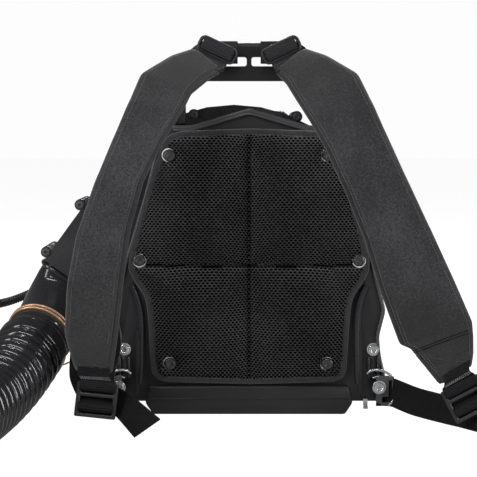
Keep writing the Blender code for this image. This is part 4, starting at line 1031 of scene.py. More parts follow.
def ribbon(name, edges, finish="webbing", replaced=(), thickness=0.002, stiff=False):
    """Flat webbing between two edge lines, given as (edge, edge) pairs along it."""
    first = [Vector(a) for a, _ in edges]
    second = [Vector(b) for _, b in edges]
    if not stiff:
        first = smooth_path(first, 5)
        second = smooth_path(second, 5)
    count = len(first)
    half = thickness / 2
    outline = (
        (0.0, 0.0), (0.012, half * 0.8), (0.04, half), (0.06, half * 0.7), (0.5, half),
        (0.94, half * 0.7), (0.96, half), (0.988, half * 0.8), (1.0, 0.0), (0.98, -half), (0.5, -half),
        (0.02, -half),
    )
    rings = []
    for i in range(count):
        a, b = first[i], second[i]
        j, k = max(i - 1, 0), min(i + 1, count - 1)
        onward = (first[k] + second[k]) - (first[j] + second[j])
        normal = (b - a).cross(onward).normalized()
        rings.append([a.lerp(b, share) + normal * lift for share, lift in outline])
    return place_piece(loft(name, rings), finish, replaced)


# ---- harness hardware
SLIDER_TILT = math.radians(25)
SLIDER_CENTRE = Vector((0.04, -0.1285, 0.466))
WRAP_LINE = (
    (-0.1168, 0.4495), (-0.1143, 0.458), (-0.1138, 0.4735), (-0.1103, 0.4772), (-0.0997, 0.4772),
    (-0.0962, 0.4735), (-0.0962, 0.46),
)
LOWER_WEBBING = {
    "right": (
        ((0.19, -0.1295, 0.047), (0.184, -0.1295, 0.011)), ((0.2, -0.15, 0.046), (0.193, -0.148, 0.01)),
        ((0.214, -0.172, 0.044), (0.207, -0.17, 0.0085)), ((0.24, -0.2, 0.042), (0.236, -0.2, 0.0065)),
        ((0.262, -0.217, 0.04), (0.256, -0.217, 0.005)),
        ((0.286, -0.234, 0.034), (0.276, -0.24, 0.004)),
    ),
    "left": (
        ((-0.19, -0.1295, 0.047), (-0.184, -0.1295, 0.011)),
        ((-0.196, -0.148, 0.048), (-0.192, -0.146, 0.012)),
        ((-0.193, -0.17, 0.051), (-0.196, -0.17, 0.016)),
        ((-0.174, -0.19, 0.052), (-0.183, -0.192, 0.021)),
        ((-0.15, -0.204, 0.046), (-0.166, -0.206, 0.018)),
        ((-0.107, -0.24, 0.021), (-0.137, -0.262, 0.004)),
    ),
}


def slider_point(side, along, slope, y):
    """A place on a top slider: along its length outwards, up its slope, and a depth."""
    cos, sin = math.cos(SLIDER_TILT), math.sin(SLIDER_TILT)
    x = SLIDER_CENTRE.x + along * cos - slope * sin
    return Vector((side * x, y, SLIDER_CENTRE.z + along * sin + slope * cos))


def slider_edges(side, inner, outer, line):
    return [(slider_point(side, inner, slope, y), slider_point(side, outer, slope, y)) for slope, y in line]


def make_top_webbing(name, side):
    wrap = [((side * 0.0145, y, z), (side * 0.0515, y, z)) for y, z in WRAP_LINE]
    ribbon(f"top_webbing_wrap_{name}", wrap, "top_webbing", replaced=[f"top_webbing_{name}"], stiff=True)
    over = (
        (-0.0066, -0.1262), (-0.0072, -0.1305), (-0.0055, -0.1335), (0.0, -0.1345), (0.0055, -0.1335),
        (0.0074, -0.1305), (0.0068, -0.126),
    )
    ribbon(f"top_webbing_loop_{name}", slider_edges(side, -0.0205, 0.0205, over), "top_webbing")
    rim = rounded_outline(
        [(-0.0238, -0.0088), (-0.0238, 0.0088), (0.0238, 0.0088), (0.0238, -0.0088)], 0.0065
    )
    path = even_path([slider_point(side, a, b, -0.1292) for a, b in rim], 0.0012, closed=True)
    replaced = [f"top_slider_{name}"]
    bar(f"slider_frame_{name}", path, 0.0023, "buckle", 12, True, FRONT, replaced)
    middle = [slider_point(side, a, 0.0, -0.1285) for a in (-0.0238, -0.01, 0.01, 0.0238)]
    bar(f"slider_bar_{name}", middle, 0.002, "buckle", 12)
    under = (
        (-0.0075, -0.1268), (-0.0125, -0.1302), (-0.0175, -0.133), (-0.0215, -0.1362), (-0.024, -0.14),
    )
    ribbon(f"top_webbing_tail_{name}", slider_edges(side, -0.0185, 0.0225, under), "top_webbing")
    for k, (slope, y) in enumerate(((-0.0148, -0.1335), (-0.0172, -0.1348))):
        ends = [slider_point(side, a, slope, y) for a in (-0.016, 0.0, 0.02)]
        stitch_row(f"top_webbing_stitches_{name}_{k + 1}", ends, FRONT)


HOOK_WEBBING = (
    ((0.166, -0.1225, 0.0495), (0.164, -0.1225, 0.0105)),
    ((0.18, -0.1228, 0.0485), (0.178, -0.1228, 0.0105)),
    ((0.191, -0.131, 0.047), (0.186, -0.131, 0.0108)),
)
BACKINGS = {
    "strap_back_layer_left": (
        ((-0.2165, -0.213, 0.112), (-0.18, -0.2105, 0.113)),
        ((-0.2205, -0.2, 0.085), (-0.18, -0.197, 0.085)),
        ((-0.221, -0.199, 0.064), (-0.18, -0.196, 0.064)),
        ((-0.2165, -0.2, 0.05), (-0.181, -0.198, 0.046)),
        ((-0.2095, -0.203, 0.0365), (-0.183, -0.202, 0.032)),
    ),
    "strap_inner_webbing_left": (
        ((-0.175, -0.2155, 0.132), (-0.1585, -0.2125, 0.132)),
        ((-0.1745, -0.2, 0.1), (-0.1582, -0.194, 0.1)),
        ((-0.1755, -0.191, 0.07), (-0.1665, -0.184, 0.07)),
        ((-0.178, -0.196, 0.048), (-0.169, -0.192, 0.046)),
    ),
}
LOCKS = {
    "left": (Vector((-0.186, -0.219, 0.039)), 6.0),
    "right": (Vector((0.2605, -0.2375, 0.045)), -28.0),
}


def lock_point(name, across, down, lift):
    """A place on a ladder lock: across its bars, down its length from the middle, and off its face."""
    centre, tilt = LOCKS[name]
    turn = Matrix.Rotation(math.radians(tilt), 3, "Y") @ Matrix.Rotation(math.radians(-8.0), 3, "X")
    return centre + turn @ Vector((across, -lift, -down))


def lock_edges(name, half, line):
    return [(lock_point(name, -half, d, lift), lock_point(name, half, d, lift)) for d, lift in line]


def make_lock_webbing(name):
    """The strap's own webbing: out of the strap, over the lock's top bar and back under the next."""
    a, b = (Vector(p) for p in STRAPS[name][-1])
    trim = 0.06 if name == "left" else 0.1
    a, b = a.lerp(b, trim), a.lerp(b, 1.0 - trim)
    left, right = (b, a) if name == "left" else (a, b)
    line = (
        (-0.0235, 0.003), (-0.0215, 0.0056), (-0.0165, 0.0062), (-0.0125, 0.0048), (-0.0105, 0.0008),
        (-0.0085, -0.004),
    )
    onto = lock_edges(name, 0.0215, line)
    lead = FRONT * 0.003
    edges = [(left + UP * 0.012 + lead, right + UP * 0.012 + lead), (left + lead, right + lead), *onto]
    ribbon(f"strap_tongue_{name}", edges)
    low = (
        (0.0008, -0.004), (0.0028, 0.001), (0.005, 0.0052), (0.0085, 0.0064), (0.012, 0.0052),
        (0.0142, 0.001), (0.016, -0.005),
    )
    ribbon(f"lock_loop_{name}", lock_edges(name, 0.0215, low))
    back = ((-0.019, -0.0052), (-0.008, -0.0062), (0.004, -0.0062), (0.019, -0.0052))
    ribbon(f"lock_backing_{name}", lock_edges(name, 0.0205, back))
    for k in range(3):
        first = left.lerp(onto[0][0], 0.12 + 0.2 * k)
        last = right.lerp(onto[0][1], 0.12 + 0.2 * k)
        ends = [first.lerp(last, share) + FRONT * 0.0045 for share in (0.08, 0.5, 0.92)]
        stitch_row(f"strap_tongue_stitches_{name}_{k + 1}", ends, FRONT, 0.0026, 0.0019, 0.0005)


def hex_radius(turn, flat):
    step = math.pi / 3
    return flat / math.cos((turn % step) - step / 2)


def bolt(
    name, centre, axis, radius, height,
    finish="zinc", replaced=(), washer=1.2, body="blower",
):
    """A flanged cap screw: washer, rounded head and a hexagon socket."""
    centre = Vector(centre)
    turn = turn_onto(axis)
    socket = radius * 0.42
    steps = (
        (radius * washer, 0.0, 0.0), (radius * washer, height * 0.16, 0.0),
        (radius * (washer - 0.06), height * 0.24, 0.0), (radius * 0.98, height * 0.26, 0.0),
        (radius * 0.98, height * 0.7, 0.0), (radius * 0.93, height * 0.9, 0.0),
        (radius * 0.78, height, 0.0), (socket * 1.2, height, 0.7), (socket, height * 0.92, 1.0),
        (socket, height * 0.3, 1.0), (socket * 0.05, height * 0.26, 1.0),
    )
    sides = 36
    rings = []
    for reach, lift, hexagon in steps:
        ring = []
        for i in range(sides):
            angle = math.tau * i / sides
            r = reach * (1 - hexagon) + hexagon * hex_radius(angle, reach)
            ring.append(centre + turn @ Vector((r * math.cos(angle), r * math.sin(angle), lift)))
        rings.append(ring)
    place_piece(loft(name, rings, smooth_angle=32), finish, replaced, body=body)


def screws(name, places, y, axis, radius, height):
    """Dark screws at (x, z) places in one plane."""
    for i, (x, z) in enumerate(places):
        bolt(f"{name}_{i + 1}", (x, y, z), axis, radius, height, "steel")


def ribs(name, count, start, gap, step, points, radius, finish, sides=8):
    """Parallel straight ribs: each a row of points a step apart, each rib a gap from the one before."""
    for k in range(count):
        line = straight(Vector(start) + Vector(gap) * k, step, points)
        bar(f"{name}_{k + 1}", line, radius, finish, sides)


FOOT_TAB = ((-0.1175, 0.019), (-0.1182, 0.012), (-0.1205, 0.0085), (-0.1245, 0.0078))
CHANNEL_BASE = -0.1131
# inner edge, outer edge and lift of each wall
CHANNEL_WALLS = ((0.1535, 0.1565, 0.006), (0.1655, 0.1685, 0.006), (0.1565, 0.1655, 0.0015))


def make_hooks(name, side):
    """The bent wire hook round each lower bolt, which the lower webbing hangs from."""
    line = (
        (0.153, -0.1165, 0.052), (0.158, -0.1195, 0.0565), (0.168, -0.1225, 0.0575),
        (0.179, -0.1235, 0.0535), (0.187, -0.1225, 0.0465), (0.19, -0.1245, 0.0375),
        (0.1885, -0.1275, 0.028), (0.1845, -0.1285, 0.0175), (0.1795, -0.1255, 0.0125),
    )
    path = smooth_path(mirrored(line, side), 6)
    bar(f"hook_wire_{name}", path, 0.0017, "zinc", 12)
    inner = (
        (0.1605, -0.1175, 0.0465), (0.1685, -0.1195, 0.0488), (0.177, -0.1195, 0.045),
        (0.1805, -0.118, 0.037), (0.1775, -0.1175, 0.028),
    )
    path = smooth_path(mirrored(inner, side), 6)
    bar(f"hook_spring_{name}", path, 0.0012, "zinc", 10)
    tab = [((side * 0.1478, y, z), (side * 0.1536, y, z)) for y, z in FOOT_TAB]
    made = ribbon(f"foot_tab_{name}", tab, finish="zinc", thickness=0.0014)


def make_bracket(name, side):
    """The moulded channel between the two bolts that the hook slides in."""
    for k, (inner, outer, lift) in enumerate(CHANNEL_WALLS):
        rings = []
        for z, pull in ((0.0465, 0.0012), (0.048, 0.0), (0.0725, 0.0), (0.074, 0.0012)):
            low, high = inner + pull * 0.3, outer - pull * 0.3
            front = CHANNEL_BASE - lift + pull
            ring = [
                (low, CHANNEL_BASE), (low, front + 0.0008), (low + 0.0008, front),
                (high - 0.0008, front), (high, front + 0.0008), (high, CHANNEL_BASE),
            ]
            rings.append([Vector((side * x, y, z)) for x, y in ring])
        wall = loft(f"hook_channel_{name}_{k + 1}", rings, smooth_angle=50)
        place_piece(wall, "buckle")


BRACKET_BOLTS = (("upper", 0.161, -0.1135, 0.083, 0.0072), ("lower", 0.1675, -0.1277, 0.036, 0.0074))


def make_harness_hardware():
    for name, side in SIDES.items():
        ribbon(f"hook_webbing_{name}", [mirrored(pair, side) for pair in HOOK_WEBBING])
    for name, edges in BACKINGS.items():
        ribbon(name, edges)
    for name, side in SIDES.items():
        make_top_webbing(name, side)
        ribbon(f"lower_webbing_strip_{name}", LOWER_WEBBING[name], replaced=[f"lower_webbing_{name}"])
        make_lock_webbing(name)
        make_hooks(name, side)
        make_bracket(name, side)
        for level, x, y, z, radius in BRACKET_BOLTS:
            replaced = [f"bracket_bolt_{level}_{name}"]
            bolt(f"bolt_{level}_{name}", (side * x, y, z), FRONT, radius, 0.0055, replaced=replaced)


# ---- duct, hose and conduit
def bend(start, axis, end, end_axis, count):
    """Points of a cubic curve that leaves along axis and arrives along end_axis."""
    start, end = Vector(start), Vector(end)
    reach = (end - start).length / 2.4
    second = start + Vector(axis).normalized() * reach
    third = end - Vector(end_axis).normalized() * reach
    made = []
    for i in range(count + 1):
        t = i / count
        s = 1 - t
        made.append(start * s**3 + second * 3 * s * s * t + third * 3 * s * t * t + end * t**3)
    return made


OUTLET = Vector((-0.229, -0.045, 0.16482))
OUTLET_AXIS = Vector((-0.5934, 0.0, -0.8049)).normalized()
OUTLET_WIDE = 0.04
OUTLET_TALL = 0.05
COLLAR_RADIUS = 0.039
ELBOW_END = Vector((-0.2705, -0.125, 0.101))
ELBOW_AXIS = Vector((-0.24, -0.86, -0.45)).normalized()
HOSE_START = ELBOW_END + ELBOW_AXIS * 0.0203
HOSE_END = Vector((-0.322, -0.4, 0.0485))
WAND_AXIS = Vector((-0.06, -1.0, -0.0175)).normalized()
WAND_SIDE = WAND_AXIS.cross(UP).normalized()
WAND_TOP = WAND_SIDE.cross(WAND_AXIS)
HOSE_LINE = bend(HOSE_START, ELBOW_AXIS, HOSE_END, WAND_AXIS, 160)
HOSE_MIDDLE = HOSE_LINE[80]
HOSE_RADIUS = 0.0455
HOSE_PLAIN = 0.012
RIDGE_DEPTH = 0.0046
RIDGE_PITCH = 0.0172


def on_wand(along, across=0.0, up=0.0):
    return HOSE_END + WAND_AXIS * along + WAND_SIDE * across + WAND_TOP * up


def make_elbow():
    """The duct that turns the fan's square outlet into the round hose collar."""
    line = bend(OUTLET, OUTLET_AXIS, ELBOW_END, ELBOW_AXIS, 28)
    rings = []
    sides = 56
    for i, (point, side, up) in enumerate(frames_along(line, BACK)):
        share = i / 28
        ease = share * share * (3 - 2 * share)
        wide = OUTLET_WIDE + (COLLAR_RADIUS - OUTLET_WIDE) * ease
        tall = OUTLET_TALL + (COLLAR_RADIUS - OUTLET_TALL) * ease
        power = 0.45 + 0.55 * ease
        ring = []
        for c, s in circle(1.0, sides):
            a = math.copysign(abs(c) ** power, c) * tall
            b = math.copysign(abs(s) ** power, s) * wide
            ring.append(point + side * a + up * b)
        rings.append(ring)
    elbow = loft("outlet_duct", rings, smooth_angle=50)
    place_piece(elbow, "gloss", ["outlet_elbow"])
    bead = [rings[1][k] + (rings[1][k] - line[1]).normalized() * 0.001 for k in range(sides)]
    bar("outlet_duct_flange", bead, 0.0032, "gloss", 10, closed=True)
    seam = [rings[i][sides // 4] for i in range(2, 26)]
    bar("outlet_duct_seam", seam, 0.0011, "gloss")


def ring_round(name, centre, axis, radius, wire, finish, body="blower"):
    """A closed wire ring about an axis."""
    turn = turn_onto(axis)
    path = [Vector(centre) + turn @ Vector((a, b, 0.0)) for a, b in circle(radius, 64)]
    return bar(name, path, wire, finish, 12, True, axis, body=body)


def make_clamp():
    """The double-wire clamp on the duct's end, with its screw."""
    centre = ELBOW_END - ELBOW_AXIS * 0.008
    radius = 0.0425
    sleeve = [
        (0.0385, -0.006), (0.0402, -0.0055), (0.0411, -0.0045), (0.0411, 0.0055), (0.0402, 0.0072),
        (0.0385, 0.0075),
    ]
    collar = turned("clamp_sleeve", sleeve, centre, ELBOW_AXIS, 72, 40)
    place_piece(collar, "rubber")
    first = None
    for i, shift in enumerate((-0.0028, 0.0028)):
        place = centre + ELBOW_AXIS * shift
        made = ring_round(
            f"clamp_wire_{i + 1}", place, ELBOW_AXIS, radius, 0.0016, "copper"
        )
        first = first or made
    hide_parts("elbow_clamp")
    side = ELBOW_AXIS.cross(UP).normalized()
    low = centre - side.cross(ELBOW_AXIS).normalized() * (radius + 0.003)
    ends = [low - side * 0.009, low + side * 0.012]
    bar("clamp_screw", even_path(ends, 0.002), 0.0019, "zinc", 12)
    bolt("clamp_screw_head", low + side * 0.009, side, 0.0034, 0.004)
    tail = [low - side * 0.008, low - side * 0.02 - UP * 0.003, low - side * 0.031 + UP * 0.001]
    bar("clamp_wire_tail", smooth_path(tail), 0.0011, "copper")


def ridged_tube(name, line, radius, groove, pitch, start=0.0, plain=0.0, sides=40, sharp=1.0):
    """A corrugated tube along a line that begins start along the whole; the ridges begin at plain."""
    placed = frames_along(line)
    walked = start
    rings = []
    for i, (point, side, up) in enumerate(placed):
        if i:
            walked += (point - placed[i - 1][0]).length
        crest = 0.5 + 0.5 * math.cos(math.tau * (walked - plain) / pitch)
        depth = groove * min(1.0, max(0.0, (walked - plain) / (0.6 * pitch)))
        r = radius - depth * (1 - crest**sharp)
        rings.append([point + side * a * r + up * b * r for a, b in circle(1.0, sides)])
    return loft(name, rings, smooth_angle=80)


def make_hose():
    """The flexible hose in two halves, so that each bends about one joint."""
    rear = even_path(HOSE_LINE[:81], 0.0013)
    front = even_path(HOSE_LINE[80:], 0.0013)
    first = ridged_tube("hose_rear", rear, HOSE_RADIUS, RIDGE_DEPTH, RIDGE_PITCH, 0.0, HOSE_PLAIN, sharp=0.4)
    place_piece(first, "gloss", ["flex_hose"], body=None)
    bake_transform(first)
    second = ridged_tube(
        "hose_front", front, HOSE_RADIUS, RIDGE_DEPTH, RIDGE_PITCH, line_length(rear), HOSE_PLAIN, sharp=0.4
    )
    place_piece(second, "gloss", ["flex_hose"], body=None)
    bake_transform(second)


def make_cuff():
    """The plain collar that the hose is moulded to, with its stop rings."""
    profile = [
        (0.0385, 0.0), (0.0405, 0.0002), (0.0412, 0.0012), (0.0412, 0.003), (0.0406, 0.0038),
        (0.041, 0.012), (0.0428, 0.0148), (0.0437, 0.0156), (0.0437, 0.0176), (0.043, 0.0184),
        (0.043, 0.0203), (0.0385, 0.0203),
    ]
    cuff = turned("hose_collar", profile, ELBOW_END + ELBOW_AXIS * 0.0003, ELBOW_AXIS, 72, 40)
    place_piece(cuff, "gloss", ["hose_cuff"])


CONDUIT_RADIUS = 0.0062
CONDUIT_LINE = (
    (-0.262, 0.012, 0.172), (-0.29, 0.014, 0.147), (-0.325, 0.008, 0.131), (-0.362, -0.03, 0.124),
    (-0.39, -0.11, 0.112), (-0.403, -0.2, 0.096), (-0.4, -0.29, 0.094), (-0.386, -0.36, 0.104),
)


def make_conduit():
    """The ribbed sleeve of the throttle cable, from the carburettor round to the grip."""
    points = [Vector(p) for p in CONDUIT_LINE]
    onward = (points[-1] - points[-2]).normalized()
    points.append(points[-1] + onward * 0.018)
    points += [on_wand(0.002, 0.016, 0.06), on_wand(0.03, 0.002, 0.0545), on_wand(0.0445, 0.0, 0.0525)]
    line = even_path(smooth_path(points, 12), 0.0006)
    middle = min(range(len(line)), key=lambda i: abs(line[i].y - HOSE_MIDDLE.y))
    rear = line[: middle + 1]
    parts = (("conduit_rear", rear, 0.0), ("conduit_front", line[middle:], line_length(rear)))
    bow = []
    for name, part, start in parts:
        tube = ridged_tube(name, part, CONDUIT_RADIUS, 0.0011, 0.0036, start, sides=16, sharp=0.6)
        bow.append(place_piece(tube, "conduit", body=None))
    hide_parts("throttle_conduit_bow")
    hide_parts("throttle_conduit_bow", "throttle_conduit_front")
    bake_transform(bow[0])
    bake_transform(bow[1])
    cable = smooth_path(
        [
            (-0.1, 0.014, 0.27), (-0.12, 0.02, 0.225), (-0.17, 0.03, 0.19), (-0.225, 0.02, 0.176),
            points[0],
        ],
        8
    )
    bar("throttle_cable", cable, 0.0026, "rubber", 10)


# ---- plate, handle and fan case
PLATE_HALF = (
    (0.0, 0.3936), (0.074, 0.3716), (0.101, 0.3716), (0.113, 0.36), (0.138, 0.27), (0.159, 0.2),
    (0.1765, 0.134), (0.168, 0.1), (0.1705, 0.075), (0.1765, 0.05), (0.1775, 0.022), (0.171, 0.0145),
)
PLATE_FRONT = -0.113
SHOULDER_LINE = (
    (0.1515, 0.1655), (0.145, 0.15), (0.1405, 0.128), (0.1398, 0.1), (0.1408, 0.06), (0.1425, 0.0385),
)


def make_plate_trim():
    """Moulded lines on the plate: its rolled rim, the ridge below the peak and the groove in the foot."""
    half = rounded_outline(mirrored_outline(PLATE_HALF), 0.006, 4)
    outline = inset_outline(half, 0.0024)
    path = [Vector((p.x, PLATE_FRONT - 0.0002, p.y)) for p in outline if p.y > 0.02]
    start = max(range(len(path)), key=lambda i: (path[i] - path[i - 1]).length)
    path = even_path([*path[start:], *path[:start]], 0.004)
    # the rim and ridge take the lighter plastic as a painted highlight
    bar("plate_rim", path, 0.0026, "edge", 10)
    ridge = [
        (-0.097, -0.1142, 0.3655), (-0.074, -0.1145, 0.3657), (-0.004, -0.1145, 0.3862),
        (0.004, -0.1145, 0.3862), (0.074, -0.1145, 0.3657), (0.097, -0.1142, 0.3655),
    ]
    bar("plate_ridge", even_path(cornered_path(ridge), 0.003), 0.0021, "edge", 10)
    groove = [(x, -0.1253, 0.0205) for x in (-0.128, -0.06, 0.0, 0.06, 0.128)]
    bar("plate_foot_bead", even_path(groove, 0.004), 0.0011, "frame")
    slope = [
        (-0.0048, 0.0), (-0.0042, 0.0036), (-0.003, 0.005), (-0.0012, 0.0053), (0.0015, 0.0042),
        (0.0038, 0.0014), (0.0048, 0.0),
    ]
    for name, side in SIDES.items():
        line = [(side * x, -0.1132, z) for x, z in SHOULDER_LINE]
        path = even_path(smooth_path(line, 8), 0.003)
        section = [(-side * a, b) for a, b in slope]
        wall = swept(f"plate_shoulder_{name}", path, section, FRONT, smooth_angle=80)
        place_piece(wall, "case")


FAN_BOSSES = ((-0.0715, 0.3855), (0.062, 0.383), (-0.2202, 0.2684), (-0.2652, 0.2064))
FAN_CENTRE = Vector((-0.012, 0.0, 0.203))
FAN_RIBS = 12
# degrees
FAN_RIB_START = -60
FAN_RIB_TURN = 24


def make_fan_trim():
    for i, (x, z) in enumerate(FAN_BOSSES):
        for name, y, axis in (("screw", -0.0852, FRONT), ("nut", -0.0048, BACK)):
            bolt(f"fan_case_{name}_{i + 1}", (x, y, z), axis, 0.0046, 0.0034, "steel")
    for k in range(FAN_RIBS):
        angle = math.radians(FAN_RIB_START + k * FAN_RIB_TURN)
        outward = Vector((math.cos(angle), 0.0, math.sin(angle)))
        spoke = [FAN_CENTRE + outward * reach + FRONT * 0.0052 for reach in (0.095, 0.12, 0.155)]
        spoke = [p for p in spoke if p.z > 0.12 or abs(p.x) > 0.12]
        if len(spoke) == 3:
            bar(f"fan_case_rib_{k + 1}", even_path(spoke, 0.004), 0.0022, "case")


# ---- wand, grip and levers
GRIP_OUTLINE = (
    (0.046, 0.0373), (0.046, 0.061), (0.07, 0.064), (0.082, 0.074), (0.084, 0.095), (0.078, 0.12),
    (0.072, 0.142), (0.08, 0.153), (0.1, 0.156), (0.128, 0.148), (0.134, 0.136), (0.128, 0.124),
    (0.122, 0.112), (0.12, 0.085), (0.126, 0.068), (0.146, 0.0493), (0.16, 0.0433), (0.16, 0.0373),
)


def make_grip():
    """The pistol grip: a rounded shell with a rubber panel of cross ribs on each side."""
    outline = rounded_outline(GRIP_OUTLINE, 0.006, 4)
    half = 0.017
    rings = []
    centre = Vector((0.1, 0.1))
    edge = ((half, 0.0045), (half - 0.0015, 0.0018), (half - 0.005, 0.0))
    for across, inset in (*[(-a, b) for a, b in edge], *reversed(edge)):
        ring = []
        for p in outline:
            pulled = p + (centre - p).normalized() * inset
            ring.append(on_wand(pulled.x, across, max(pulled.y, 0.0373)))
        rings.append(ring)
    grip = loft("grip_shell", rings, smooth_angle=50)
    place_piece(grip, "wand", ["grip_handle"], body="wand")
    for k in range(9):
        up = 0.072 + 0.0065 * k
        for name, side in SIDES.items():
            shift = 0.0035 * math.sin((up - 0.07) * 28)
            line = [on_wand(0.0885 + 0.0075 * j - shift, side * (half + 0.0001), up) for j in range(4)]
            bar(f"grip_rib_{name}_{k + 1}", line, 0.0011, "grip", body="wand")
    for k, (along, up) in enumerate(((0.056, 0.05), (0.145, 0.0445), (0.09, 0.146), (0.12, 0.138))):
        for name, side in SIDES.items():
            place = on_wand(along, side * (half - 0.0006), up)
            bolt(
                f"grip_screw_{name}_{k + 1}", place, WAND_SIDE * side, 0.0026, 0.0018, "steel",
                washer=1.05, body="wand"
            )


# how far along the wand each ring sits, and its radius
WAND_RINGS = (
    (0.003, 0.0405), (0.0135, 0.0405), (0.247, 0.0368), (0.2565, 0.0395), (0.278, 0.0395),
    (0.6, 0.0346), (0.618, 0.0361), (0.643, 0.0357), (0.9, 0.0286),
)


def make_wand_trim():
    """Stop rings, bayonet lugs and the split line of the tubes."""
    for i, (along, radius) in enumerate(WAND_RINGS):
        name = f"wand_ring_{i + 1}"
        ring_round(name, on_wand(along), WAND_AXIS, radius, 0.0014, "wand", "wand")
    for k in range(3):
        angle = math.tau * k / 3 + 0.4
        a, b = math.cos(angle), math.sin(angle)
        line = [on_wand(0.254 + 0.004 * j, a * 0.0402, b * 0.0402) for j in range(6)]
        bar(f"tube_lug_{k + 1}", line, 0.0026, "wand", 10, body="wand")
        line = [on_wand(0.616 + 0.004 * j, a * 0.0368, -b * 0.0368) for j in range(6)]
        bar(f"nozzle_lug_{k + 1}", line, 0.002, "wand", 10, body="wand")
    for name, side in SIDES.items():
        line = [on_wand(0.03 + 0.01 * j, side * 0.0371, 0.0) for j in range(22)]
        bar(f"control_tube_seam_{name}", line, 0.0007, "wand", body="wand")
    bolt("wand_clamp_screw", on_wand(-0.0045, 0.0, 0.0482), WAND_TOP, 0.0032, 0.003, body="wand")


# ---- engine side
def make_rope():
    line = straight((-0.07, 0.1, 0.227), (-0.0006, 0.0, 0.0), 40)
    rope = ridged_tube("starter_rope", line, 0.0019, 0.0003, 0.0012, sides=10)
    place_piece(rope, "thread", body=None)
    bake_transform(rope)


HOSE_LINES = {
    "spark_plug_lead": (
        0.0034,
        (
            (-0.012, 0.096, 0.333), (0.004, 0.1035, 0.328), (0.026, 0.098, 0.303),
            (0.034, 0.088, 0.272), (0.03, 0.074, 0.25),
        ),
    ),
    "fuel_line_feed": (
        0.0028,
        (
            (-0.07, 0.05, 0.11), (-0.075, 0.062, 0.14), (-0.1, 0.066, 0.2), (-0.108, 0.056, 0.25),
            (-0.1, 0.04, 0.276),
        ),
    ),
    "fuel_line_return": (
        0.0024,
        (
            (-0.058, 0.06, 0.11), (-0.063, 0.074, 0.145), (-0.112, 0.074, 0.205), (-0.12, 0.052, 0.262),
            (-0.114, 0.046, 0.285),
        ),
    ),
}
BOOT_PROFILE = (
    (0.0, 0.0), (0.0066, 0.0), (0.0072, 0.002), (0.0068, 0.012), (0.0082, 0.0145), (0.0082, 0.019),
    (0.006, 0.0225), (0.0, 0.023),
)
KNOB_PROFILE = (
    (0.0, 0.0), (0.011, 0.0), (0.0115, 0.002), (0.0108, 0.007), (0.0085, 0.0095), (0.0, 0.0098),
)
STARTER_RINGS = (("cap", 0.1281, 0.0155, 0.0012, "gloss"), ("edge", 0.1279, 0.0655, 0.0014, "case"))
STARTER_CENTRE = Vector((-0.012, 0.0, 0.203))
CAP_CENTRE = Vector((0.078, 0.078, 0.1145))


def make_engine_trim():
    """Plug, lead, fuel lines, screws, louvres and mouldings of the engine side."""
    boot = turned("spark_plug_boot", BOOT_PROFILE, (-0.012, 0.079, 0.326), (0.0, 0.92, 0.38), 28)
    place_piece(boot, "rubber")
    for name, (radius, points) in HOSE_LINES.items():
        bar(name, even_path(smooth_path(points, 8), 0.002), radius, "rubber", 12)
    crankcase = [(x, z) for z in (0.162, 0.242) for x in (-0.055, 0.031)]
    screws("crankcase_screw", crankcase, 0.0748, BACK, 0.0036, 0.004)
    ribs(
        "muffler_louvre", 5, (0.04, 0.0785, 0.274), UP * 0.015, (0.008, 0.0, 0.0), 9, 0.0022,
        "steel", 10
    )
    muffler = [(x, z) for z in (0.268, 0.34) for x in (0.037, 0.106)]
    screws("muffler_screw", muffler, 0.0775, BACK, 0.003, 0.0034)
    ribs(
        "engine_cover_rib", 7, (-0.054, 0.0953, 0.353), (0.0165, 0.0, 0.0), UP * 0.0035, 10, 0.0018,
        "case"
    )
    corners = [(a + STARTER_CENTRE.x, b + STARTER_CENTRE.z) for a, b in circle(0.064, 8)[1::2]]
    screws("starter_screw", corners, 0.1215, BACK, 0.0032, 0.0034)
    for name, y, radius, wire, finish in STARTER_RINGS:
        ring_round(
            f"starter_{name}_ring", STARTER_CENTRE + BACK * y, BACK, radius, wire,
            finish
        )
    ribs(
        "filter_cover_rib", 6, (-0.183, 0.0853, 0.25), UP * 0.016, (0.0065, 0.0, 0.0), 8, 0.0016,
        "case"
    )
    knob = turned("filter_cover_knob", KNOB_PROFILE, (-0.1902, 0.042, 0.292), (-1.0, 0.0, 0.0), 12, 20)
    place_piece(knob, "buckle")
    seam = rounded_outline(
        [(-0.1123, -0.0003), (0.1123, -0.0003), (0.1123, 0.1153), (-0.1123, 0.1153)], 0.018, 6
    )
    path = even_path([Vector((p.x, p.y, 0.06)) for p in seam], 0.004, closed=True)
    bar("tank_seam", path, 0.0017, "tank", closed=True)
    grip_lines = []
    for k, (x, y) in enumerate(circle(0.0243, 20)):
        line = straight(CAP_CENTRE + Vector((x, y, 0.0)), UP * 0.0035, 4)
        grip_lines.append(round_bar(f"cap_rib_{k + 1}", line, 0.0011, 6))
    place_piece(joined("fuel_cap_ribs", grip_lines), "buckle", body="fuel_cap")


# ---- nodes carried over from the CAD
def smoothing_group():
    """Rounds the shading of a moulded part and keeps its real edges."""
    group = bpy.data.node_groups.new("moulded_shading", "GeometryNodeTree")
    for direction in ("INPUT", "OUTPUT"):
        group.interface.new_socket("Geometry", in_out=direction, socket_type="NodeSocketGeometry")
    start = add_node(group, "NodeGroupInput")
    angle = add_node(group, "GeometryNodeInputMeshEdgeAngle").outputs["Unsigned Angle"]
    sharp = add_node(
        group, "FunctionNodeCompare", {0: angle, 1: math.radians(30)}, operation="GREATER_THAN"
    )
    values = {"Mesh": start.outputs[0], "Remove Custom": True, "Edge Sharpness": sharp.outputs[0]}
    values["Face Sharpness"] = False
    normal = add_node(group, "GeometryNodeSetMeshNormal", values, mode="SHARPNESS")
    add_node(group, "NodeGroupOutput", {0: normal.outputs[0]})
    return group


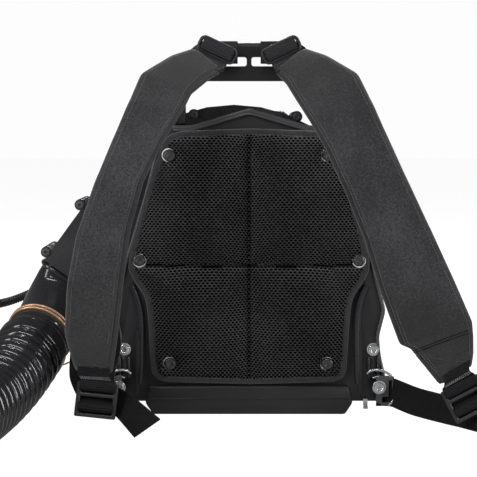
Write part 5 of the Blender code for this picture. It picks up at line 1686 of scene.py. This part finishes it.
# finish, width of the rounded edges and the nodes that have them
CARRIED = (
    ("frame", 0.0012, "back_plate"), ("handle", 0.002, "carry_handle"),
    ("buckle", 0.0012, "ladder_lock_left ladder_lock_right"), ("buckle", 0.001, "fuel_cap"),
    ("steel", 0.0005, "strap_hook_left strap_hook_right"), ("steel", 0.0004, "crankshaft"),
    ("steel", 0.0015, "muffler"), ("case", 0.0015, "fan_case_front fan_case_rear"),
    ("case", 0.0012, "starter_housing"), ("case", 0.003, "air_filter_cover engine_cover"),
    ("impeller", 0.0006, "impeller"), ("impeller", 0.0004, "starter_pulley"),
    ("zinc", 0.0004, "wand_clamp"), ("wand", 0.0008, "control_tube blower_tube nozzle"),
    ("orange", 0.0015, "throttle_trigger"), ("orange", 0.001, "cruise_lever"),
    ("orange", 0.0008, "choke_lever"), ("red", 0.0008, "stop_switch"),
    ("aluminium", 0.0012, "crankcase"), ("aluminium", 0.0004, "cylinder piston"),
    ("aluminium", 0.0008, "carburettor"), ("grip", 0.0015, "starter_grip"),
    ("tank", 0.004, "fuel_tank"), ("bulb", 0.0004, "primer_bulb"),
    ("rubber", 0.0008, "mount_upper mount_lower_left mount_lower_right"),
)


def finish_carried():
    shading = smoothing_group()
    carried = [(name, finish, width) for finish, width, names in CARRIED for name in names.split()]
    for name, finish, width in carried:
        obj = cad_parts[name]
        obj.material_slots[0].material = MATERIALS[finish]
        add_modifier(obj, "WELD", merge_threshold=0.00002)
        add_modifier(obj, "DECIMATE", decimate_type="DISSOLVE", angle_limit=math.radians(0.7))
        sharp = {"limit_method": "ANGLE", "angle_limit": math.radians(35), "harden_normals": False}
        add_modifier(obj, "BEVEL", width=width, segments=2, **sharp)
        add_modifier(obj, "NODES", node_group=shading)


make_camera()
make_studio()
make_pad()
make_rivets()
for strap_side in STRAPS:
    make_strap_seams(make_strap(strap_side), strap_side)
make_harness_hardware()
make_elbow()
make_clamp()
make_cuff()
make_hose()
make_conduit()
make_plate_trim()
make_fan_trim()
make_grip()
make_wand_trim()
make_rope()
make_engine_trim()
finish_carried()
bpy.context.view_layer.update()
